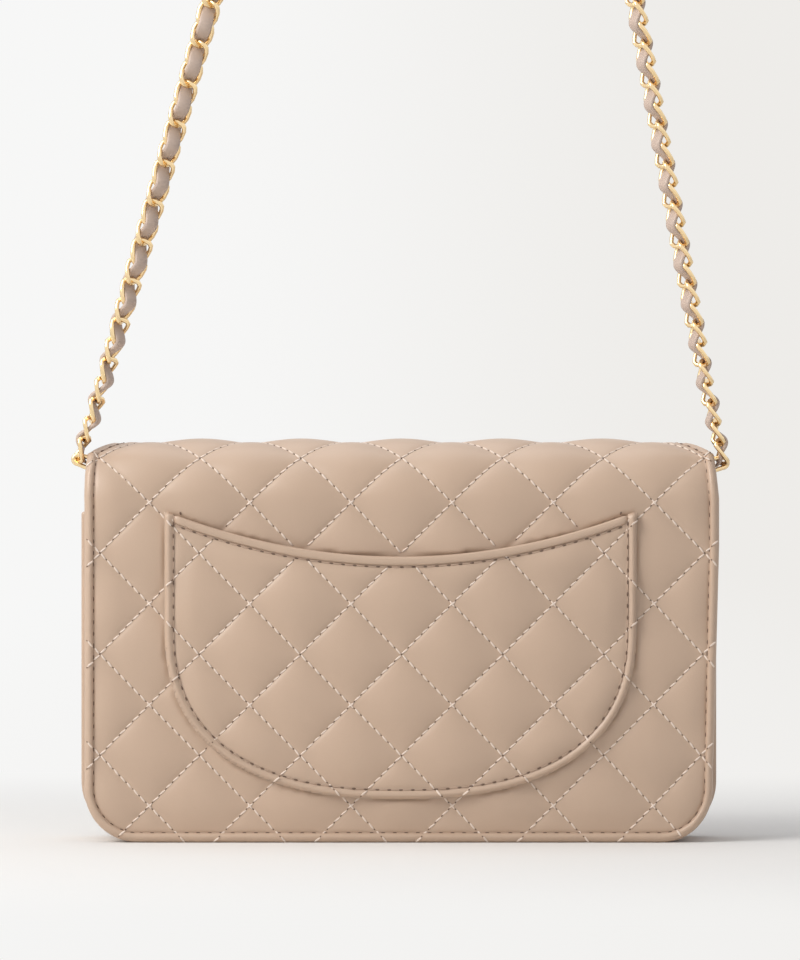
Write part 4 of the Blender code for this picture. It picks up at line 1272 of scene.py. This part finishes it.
# %% Leather lace
LACE_WIDTH = 4.3 * MM
LACE_THICKNESS = 1.7 * MM
LACE_LIFT = 1.9 * MM
LACE_STEPS = 10
TAIL_LENGTH = 4.5 * MM
TAIL_INWARD = 2.2 * MM
TAIL_STEPS = 4
TAIL_TAPER = 0.3


def lace_tail(end, way):
    """The end of the lace, which leaves the last link and turns in towards the bag."""
    frames = []
    for step in range(1, TAIL_STEPS + 1):
        share = step / TAIL_STEPS
        size = 1 - TAIL_TAPER * share
        point, tangent, width, rise = STRAP.frame(end + way * TAIL_LENGTH * share)
        place = point - Vector((way * TAIL_INWARD * share * share, 0.0, 0.0))
        frames.append((place, width * size, rise * size))
    return frames


def make_lace():
    shape = bmesh.new()
    frames = lace_tail(LINKS[0], -1)[::-1]
    for index, (start, end) in enumerate(zip(LINKS, LINKS[1:])):
        side = -1 if index % 2 == 0 else 1
        for step in range(LACE_STEPS + (index == len(LINKS) - 2)):
            share = step / LACE_STEPS
            lift = side * LACE_LIFT * math.sin(math.pi * share) if 0 < share < 1 else 0.0
            point, tangent, width, rise = STRAP.frame(start + (end - start) * share)
            frames.append((point + rise * lift, width, rise))
    frames += lace_tail(LINKS[-1], 1)
    tube(shape, frames, rounded_section(LACE_WIDTH, LACE_THICKNESS, 10, 0.6))
    keep("woven_lace", fill_ends(shape), LACE, "lace_leather", "strap", "strap_lace")


make_lace()

# %% [markdown]
# At each end of the roll a short leather tab comes out of the bag and holds an oval wire loop,
# and the chain's last link hangs on that loop. Both are tubes along a path again: the loop is
# closed on itself, and the tab is a flat band that goes round the loop and back down.

# %% Strap anchors
LOOP_STEPS = 12
LOOP_WIRE = 0.7 * MM
LOOP_TIP = {"left": 0.5, "right": 0.6}
LOOP_RAISE = {"left": 2.1 * MM, "right": 1.4 * MM}
TAB_THICKNESS = 1.0 * MM
TAB_SPREAD = 1.8 * MM
TAB_FOOT = 0.3 * MM
TAB_BEND = 7.0 * MM
TAB_THROAT = 5.0 * MM
TAB_REAR_BOW, TAB_FRONT_BOW = 0.3 * MM, 0.4 * MM
TAB_FROM, TAB_TO = 175, -25


def make_loop(name):
    low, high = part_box("anchor_loop_" + name)
    wire = (high.y - low.y) / 2
    middle = (high.z + low.z) / 2
    radius = (high.z - low.z) / 2 - wire
    outer = radius * LOOP_TIP[name]
    path = arc((high.x - wire - outer, high.z - wire - outer), outer, -90, 90, LOOP_STEPS)
    path += arc((low.x + wire + radius, middle), radius, 90, 270, LOOP_STEPS)
    path = [(x, z + LOOP_RAISE[name] * smooth((x - low.x) / (high.x - low.x))) for x, z in path]
    path.append(path[0])
    if name == "left":
        path = [(low.x + high.x - x, z) for x, z in reversed(path)]
    points = [Vector((x, (low.y + high.y) / 2, z)) for x, z in path]
    shape = bmesh.new()
    tube(shape, path_frames(points, LEVEL), rounded_section(2 * wire, 2 * wire, 10, 1.0))
    keep("loop_" + name, finished(shape), GOLD, "gold_metal", "case", "anchor_loop_" + name)


def make_tab(name):
    low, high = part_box("anchor_tab_" + name)
    loop_low, loop_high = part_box("anchor_loop_" + name)
    bar = Vector(((loop_low.y + loop_high.y) / 2, loop_low.z + LOOP_WIRE))
    reach = high.z - bar.y - TAB_THICKNESS / 2
    rear = low.y + TAB_THICKNESS / 2
    front = rear + TAB_SPREAD
    foot, bend, throat = low.z + TAB_FOOT, bar.y - TAB_BEND, bar.y - TAB_THROAT
    path = [(rear, foot), (rear, bend), (rear + TAB_REAR_BOW, throat)]
    path += arc(bar, reach, TAB_FROM, TAB_TO, 14)
    path += [(front + TAB_FRONT_BOW, throat), (front, bend), (front, foot)]
    points = [Vector(((low.x + high.x) / 2, y, z)) for y, z in path]
    shape = bmesh.new()
    tube(shape, path_frames(points, ACROSS), rounded_section(high.x - low.x, TAB_THICKNESS, 12, 0.35))
    keep("tab_" + name, fill_ends(shape), LEATHER, "plain_leather", "case", "anchor_tab_" + name)


for name in ("left", "right"):
    make_loop(name)
    make_tab(name)

# %% [markdown]
# The walls inside the bag are flat layers with rounded lower corners. Each one starts as a grid
# over its box in the frame, loses the faces outside its outline, snaps its border to that
# outline and is extruded to its thickness. A bevel then softens its edges.

# %% Flat layers
SNAP_HEIGHT = 52.0 * MM
INNER_CORNER = 13.0 * MM
FLAP_INNER_CORNER = 20.0 * MM
LAYER_CELL = 3.0 * MM
LAYER_EDGE = 0.15 * MM
BORDER_STEPS = 400
SHARP_ANGLE = 1.0
LEVEL_FACE = 0.999


def sheet_border(half, low, high, radius, hole):
    """Flat points round a layer with rounded lower corners, and round its hole."""
    shares = [step / BORDER_STEPS for step in range(BORDER_STEPS + 1)]
    points = []
    for side in (-1, 1):
        points += [(side * x, z) for x, z in arc((half - radius, low + radius), radius, -90, 0, 90)]
        points += [(side * half, low + radius + (high - low - radius) * share) for share in shares]
        points += [(side * half * share, high) for share in shares]
        points += [(side * (half - radius) * share, low) for share in shares]
    if hole:
        points += arc((0.0, SNAP_HEIGHT), hole, 0, 360, 120)
    return [Vector((x, z, 0.0)) for x, z in points]


def bevel(shape, edges, offset, segments=2):
    bmesh.ops.bevel(
        shape, geom=edges, offset=offset, segments=segments, profile=0.5, affect="EDGES", material=-1
    )


def soften(shape, offset):
    """Bevels every sharp edge."""
    sharp = [edge for edge in shape.edges if edge.is_manifold and edge.calc_face_angle() > SHARP_ANGLE]
    bevel(shape, sharp, offset)


def thicken(shape, vector):
    made = bmesh.ops.extrude_face_region(shape, geom=list(shape.faces))["geom"]
    moved = [item for item in made if isinstance(item, bmesh.types.BMVert)]
    bmesh.ops.translate(shape, vec=vector, verts=moved)
    finished(shape)


def flat_layer(name, node, material, slot, body, radius, hole, cell=LAYER_CELL, edge=LAYER_EDGE):
    low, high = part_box(node)

    def inside(x, z):
        across, down = abs(x) - (high.x - radius), radius - (z - low.z)
        if across > 0 and down > 0 and math.hypot(across, down) > radius:
            return False
        return math.hypot(x, z - SNAP_HEIGHT) > hole

    columns, rows = ruler(0.0, low.x, high.x, cell), ruler(SNAP_HEIGHT, low.z, high.z, cell)
    shape = cut_sheet(columns, rows, inside, sheet_border(high.x, low.z, high.z, radius, hole))
    for vertex in shape.verts:
        vertex.co = (vertex.co.x, low.y, vertex.co.y)
    thicken(shape, (0.0, high.y - low.y, 0.0))
    soften(shape, edge)
    made = keep(name, shape, material, slot, body, node)
    for polygon in made.data.polygons:
        polygon.use_smooth = abs(polygon.normal.y) < LEVEL_FACE
    return made


FRONT_PEEP = 1.0 * MM
PEEP_FROM = 88.0 * MM
PEEP_SPAN = 9.0 * MM
FRONT_HOLE = 6.3 * MM
FRONT_CELL = 2.0 * MM
FRONT_EDGE = 0.8 * MM
HOLES = {"front_lining": 4.5 * MM, "flap_lining": 7.3 * MM}
FRONT_LOW, FRONT_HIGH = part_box("front_panel")
front = flat_layer(
    "front_wall", "front_panel", LEATHER, "plain_leather", "case", BACK_CORNER, FRONT_HOLE,
    FRONT_CELL, FRONT_EDGE,
)
for vertex in front.data.vertices:
    vertex.co.x -= FRONT_PEEP * smooth((-vertex.co.x - PEEP_FROM) / PEEP_SPAN)
for node in (
    "front_lining", "back_lining", "flap_lining", "zip_pocket_rear", "zip_pocket_front",
    "card_slot_high", "card_slot_mid", "card_slot_low", "back_board", "flap_board",
):
    body, radius = ("flap", FLAP_INNER_CORNER) if node.startswith("flap") else ("case", INNER_CORNER)
    material, slot = (BOARD, "board") if node.endswith("board") else (TWILL, "lining")
    flat_layer(node + "_layer", node, material, slot, body, radius, HOLES.get(node, 0.0))

# %% [markdown]
# Each side wall is a strip that bends round the lower corner, with a crease that folds inward and
# lets the bag close flat. The bottom strip fills the space between the two.

# %% Side walls and base
GUSSET_CORNER = 15.0 * MM
GUSSET_FOLD = 3.0 * MM
GUSSET_THICKNESS = 1.0 * MM
GUSSET_COLUMNS = 16
CORNER_STEPS = 16
WALL_STEPS = 32
FOLD_POWER = 0.8
CREASE_DEPTH = 0.25 * MM
CREASE_RATE = 9
WALL_EDGE = 0.25 * MM
BASE_EDGE = 0.3 * MM
BOARD_EDGE = 0.2 * MM


def make_gusset(name, side):
    low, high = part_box("gusset_" + name)
    reach = max(abs(low.x), abs(high.x))
    path = arc((reach - GUSSET_CORNER, GUSSET_CORNER), GUSSET_CORNER, -90, 0, CORNER_STEPS)
    rise = high.z - GUSSET_CORNER
    path += [(reach, GUSSET_CORNER + rise * step / WALL_STEPS) for step in range(1, WALL_STEPS + 1)]
    columns = [2 * column / GUSSET_COLUMNS - 1 for column in range(GUSSET_COLUMNS + 1)]
    shape, pairs = grid(columns, path)
    for vertex, (across, (x, z)) in pairs.items():
        share = smooth((z - GUSSET_CORNER) / rise)
        fold = GUSSET_FOLD * (1 - abs(across) ** FOLD_POWER) * share
        wave = math.sin(CREASE_RATE * z / GUSSET_CORNER)
        crease = CREASE_DEPTH * wave * (1 - across * across) * share
        y = (low.y + high.y) / 2 + across * (high.y - low.y) / 2
        vertex.co = (side * (x - fold - crease), y, z)
    bmesh.ops.recalc_face_normals(shape, faces=shape.faces)
    lowest = min(shape.faces, key=lambda face: face.calc_center_median().z)
    if lowest.normal.z > 0:
        bmesh.ops.reverse_faces(shape, faces=shape.faces)
    bmesh.ops.solidify(shape, geom=shape.faces, thickness=GUSSET_THICKNESS)
    finished(shape)
    soften(shape, WALL_EDGE)
    keep("side_wall_" + name, shape, LEATHER, "plain_leather", "case", "gusset_" + name)


def block(shape, low, high, edge, segments=2):
    """Adds a box with softened edges."""
    size, middle = Vector(high) - Vector(low), (Vector(high) + Vector(low)) / 2
    matrix = Matrix.Translation(middle) @ Matrix.Diagonal((*size, 1.0))
    made = bmesh.ops.create_cube(shape, size=1.0, matrix=matrix)["verts"]
    lines = list(dict.fromkeys(line for vertex in made for line in vertex.link_edges))
    bevel(shape, lines, edge, segments)


def make_block(name, node, material, slot, edge):
    shape = bmesh.new()
    block(shape, *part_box(node), edge)
    keep(name, shape, material, slot, "case", node)


make_gusset("left", -1)
make_gusset("right", 1)
make_block("bottom_strip", "base_panel", LEATHER, "plain_leather", BASE_EDGE)
make_block("bottom_stiffener", "base_board", BOARD, "board", BOARD_EDGE)

# %% [markdown]
# Stitches finish the inner pieces too: along the top of the front wall and of each card slot,
# and round the inside of the flap where its edge is turned in.

# %% Stitches inside
INNER_PITCH = 3.0 * MM
WALL_DROP, WALL_MARGIN = 2.6 * MM, 3.0 * MM
SLOT_DROP, SLOT_MARGIN = 1.6 * MM, 2.0 * MM
LINE_STEPS = 60
FLAP_SEAM_FROM = ROLL_HEIGHT + ROLL_LENGTH + 2.0 * MM


def sew_row(name, slot, y, z, half):
    """A straight row of stitches on an upright face."""
    line = [Vector((half * (step / LINE_STEPS - 1), z, 0.0)) for step in range(2 * LINE_STEPS + 1)]
    seams = [(line, INNER_PITCH, STITCH_LIFT)]
    for sewing in sew_edge(
        name + "_thread", name + "_holes", seams, lambda x, s: 0.0, lambda x, s, up: Vector((x, y + up, s))
    ):
        sewing.sewn(slot, "case")


sew_row("front_wall", "plain_leather", FRONT_HIGH.y, FRONT_HIGH.z - WALL_DROP, FRONT_HIGH.x - WALL_MARGIN)
for node in ("card_slot_high", "card_slot_mid", "card_slot_low"):
    low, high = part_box(node)
    sew_row(node, "lining", high.y, high.z - SLOT_DROP, high.x - SLOT_MARGIN)
flap_seams = [([point for point in HIDE_SEAM if point.y > FLAP_SEAM_FROM], EDGE_PITCH, STITCH_LIFT)]
for sewing in sew_edge(
    "flap_inner_thread", "flap_inner_holes", flap_seams,
    lambda x, s: HIDE_THICKNESS, lambda x, s, height: wrap(x, s, -height),
):
    sewing.sewn("quilted_leather", "flap")

# %% [markdown]
# The zip has two woven tapes and, clamped on their edges, single metal teeth that stand half a
# pitch apart on the two sides. The slider is a plate above and one below, joined by a neck, with
# a wire bail on top. The pull's end bar turns in that bail.

# %% Zip
TOOTH_PITCH = 1.5 * MM
TOOTH_LENGTH = 0.95 * MM
TAPE_GRIP = 0.4 * MM
TAPE_EDGE = 0.15 * MM
TOOTH_EDGE = 0.22 * MM
STOP_EDGE = 0.2 * MM
PLATE_THICKNESS = 0.8 * MM
PLATE_EDGE = 0.3 * MM
LOWER_PLATE_HALF = 1.35 * MM
NECK_REACH, NECK_HALF, NECK_EDGE = 1.75 * MM, 0.5 * MM, 0.1 * MM
BAIL_ROOM = 2.5 * MM
BAIL_REACH, BAIL_HEIGHT, BAIL_WIDTH = 2.3 * MM, 2.1 * MM, 0.8 * MM
ZIP_TEETH = {"rear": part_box("zip_teeth_rear"), "front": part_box("zip_teeth_front")}
ZIP_Y = (ZIP_TEETH["rear"][1].y + ZIP_TEETH["front"][0].y) / 2


def make_zip_side(name, rear):
    low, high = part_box("zip_tape_" + name)
    grip = Vector((0.0, TAPE_GRIP, 0.0))
    shape = bmesh.new()
    block(shape, low if rear else low - grip, high + grip if rear else high, TAPE_EDGE)
    keep("tape_" + name, shape, TWILL, "zip_tape", "case", "zip_tape_" + name)
    low, high = ZIP_TEETH[name]
    size = Vector((TOOTH_LENGTH, high.y - low.y, high.z - low.z))
    master = bmesh.new()
    block(master, -size / 2, size / 2, TOOTH_EDGE, 1)
    master.verts.index_update()
    count = int((high.x - low.x) / TOOTH_PITCH) - 1
    start = low.x + TOOTH_LENGTH / 2 + (0.0 if rear else TOOTH_PITCH / 2)
    middle = (low + high) / 2
    matrices = [
        Matrix.Translation((start + TOOTH_PITCH * index, middle.y, middle.z)) for index in range(count + 1)
    ]
    mesh = copies("teeth_" + name, master, matrices)
    teeth = keep_mesh(mesh, GOLD, "gold_metal", "case", "zip_teeth_" + name)
    for polygon in teeth.data.polygons:
        polygon.use_smooth = False


make_zip_side("rear", True)
make_zip_side("front", False)
make_block("stop_left", "zip_stop_left", GOLD, "gold_metal", STOP_EDGE)
make_block("stop_right", "zip_stop_right", GOLD, "gold_metal", STOP_EDGE)


def make_slider():
    low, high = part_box("zip_slider")
    middle = Vector(((low.x + high.x) / 2, ZIP_Y, 0.0))
    top = high.z - BAIL_ROOM
    lower_top = low.z + PLATE_THICKNESS
    shape = bmesh.new()
    block(shape, (low.x, low.y, top - PLATE_THICKNESS), (high.x, high.y, top), PLATE_EDGE)
    block(
        shape, (low.x, ZIP_Y - LOWER_PLATE_HALF, low.z), (high.x, ZIP_Y + LOWER_PLATE_HALF, lower_top),
        PLATE_EDGE,
    )
    neck_foot, neck_top = low.z + PLATE_THICKNESS / 2, top - PLATE_THICKNESS / 2
    neck_low = middle + Vector((-NECK_REACH, -NECK_HALF, neck_foot))
    neck_high = middle + Vector((NECK_REACH, NECK_HALF, neck_top))
    block(shape, neck_low, neck_high, NECK_EDGE)
    path = [(BAIL_REACH, neck_top)]
    path += [(BAIL_REACH * x, top + BAIL_HEIGHT * z) for x, z in arc((0.0, 0.0), 1.0, 0, 180, 16)]
    path.append((-BAIL_REACH, neck_top))
    points = [middle + Vector((x, 0.0, z)) for x, z in path]
    tube(shape, path_frames(points, LEVEL), rounded_section(BAIL_WIDTH, BAIL_WIDTH, 8, 1.0))
    keep("slider_with_bail", shape, GOLD, "gold_metal", "slider", "zip_slider")


PULL_BAR = 0.8 * MM
PULL_SLOT_END = 4.2 * MM
PULL_SLOT_HALF = 0.8 * MM
PULL_EDGE = 0.18 * MM


def make_pull():
    """A flat plate from an outline and its slot, filled with triangles and extruded."""
    low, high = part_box("zip_pull")
    half = (high.y - low.y) / 2
    outline = arc((low.x + half, ZIP_Y), half, 90, 270, 16) + [(high.x, ZIP_Y - half), (high.x, ZIP_Y + half)]
    near, far = high.x - PULL_BAR, high.x - PULL_SLOT_END
    left, right = ZIP_Y - PULL_SLOT_HALF, ZIP_Y + PULL_SLOT_HALF
    slot = [(near, left), (near, right), (far, right), (far, left)]
    shape = bmesh.new()
    edges = []
    for line in (outline, slot):
        verts = [shape.verts.new((x, y, low.z)) for x, y in line]
        edges += [shape.edges.new((first, second)) for first, second in zip(verts, verts[1:] + verts[:1])]
    bmesh.ops.triangle_fill(shape, use_beauty=True, edges=edges)
    thicken(shape, (0.0, 0.0, high.z - low.z))
    soften(shape, PULL_EDGE)
    keep("pull_plate", shape, GOLD, "gold_metal", "pull", "zip_pull")


make_slider()
make_pull()

# %% [markdown]
# The snap is turned metal. Each of its three pieces is half of a section, spun round the snap's
# axis: a socket through the front wall, the washer that holds it inside, and the stud on the
# flap's lining that pushes into the socket.

# %% Snap fastener
SPIN_STEPS = 48
SNAP_EDGE = 0.12 * MM


def turned(name, body, profile):
    """Spins a closed profile: pairs of a radius in millimetres and a distance along +Y in metres."""
    shape = bmesh.new()
    corners = [shape.verts.new((radius * MM, 0.0, forward)) for radius, forward in profile]
    edges = [shape.edges.new(pair) for pair in zip(corners, corners[1:] + corners[:1])]
    bmesh.ops.spin(
        shape, geom=corners + edges, cent=(0.0, 0.0, 0.0), axis=(0.0, 0.0, 1.0),
        angle=2 * math.pi, steps=SPIN_STEPS, use_merge=True,
    )
    bmesh.ops.remove_doubles(shape, verts=shape.verts, dist=MERGE)
    matrix = Matrix.Translation((0.0, 0.0, SNAP_HEIGHT)) @ Matrix.Rotation(-math.pi / 2, 4, "X")
    bmesh.ops.transform(shape, matrix=matrix, verts=shape.verts)
    finished(shape)
    soften(shape, SNAP_EDGE)
    keep(name, shape, GOLD, "gold_metal", body, "snap_" + name)


low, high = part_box("snap_socket")
face, flange = high.y, FRONT_LOW.y
turned("socket", "case", (
    (2.9, face - 0.3 * MM), (3.3, face), (4.6, face), (5.0, face - 0.35 * MM), (5.5, face - 0.35 * MM),
    (6.0, face - 0.7 * MM), (6.0, flange), (4.2, flange), (4.2, low.y), (2.9, low.y),
))
low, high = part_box("snap_washer")
turned("washer", "case", ((4.5, high.y), (6.5, high.y), (6.5, low.y), (4.5, low.y)))
low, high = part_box("snap_stud")
base = high.y - 0.6 * MM
turned("stud", "flap", (
    (0.0, high.y), (7.0, high.y), (7.0, base + 0.25 * MM), (6.6, base), (2.5, base), (1.7, base - 0.35 * MM),
    (1.7, base - 0.7 * MM), (2.1, base - 1.0 * MM), (1.9, low.y + 0.2 * MM), (1.2, low.y), (0.0, low.y),
))
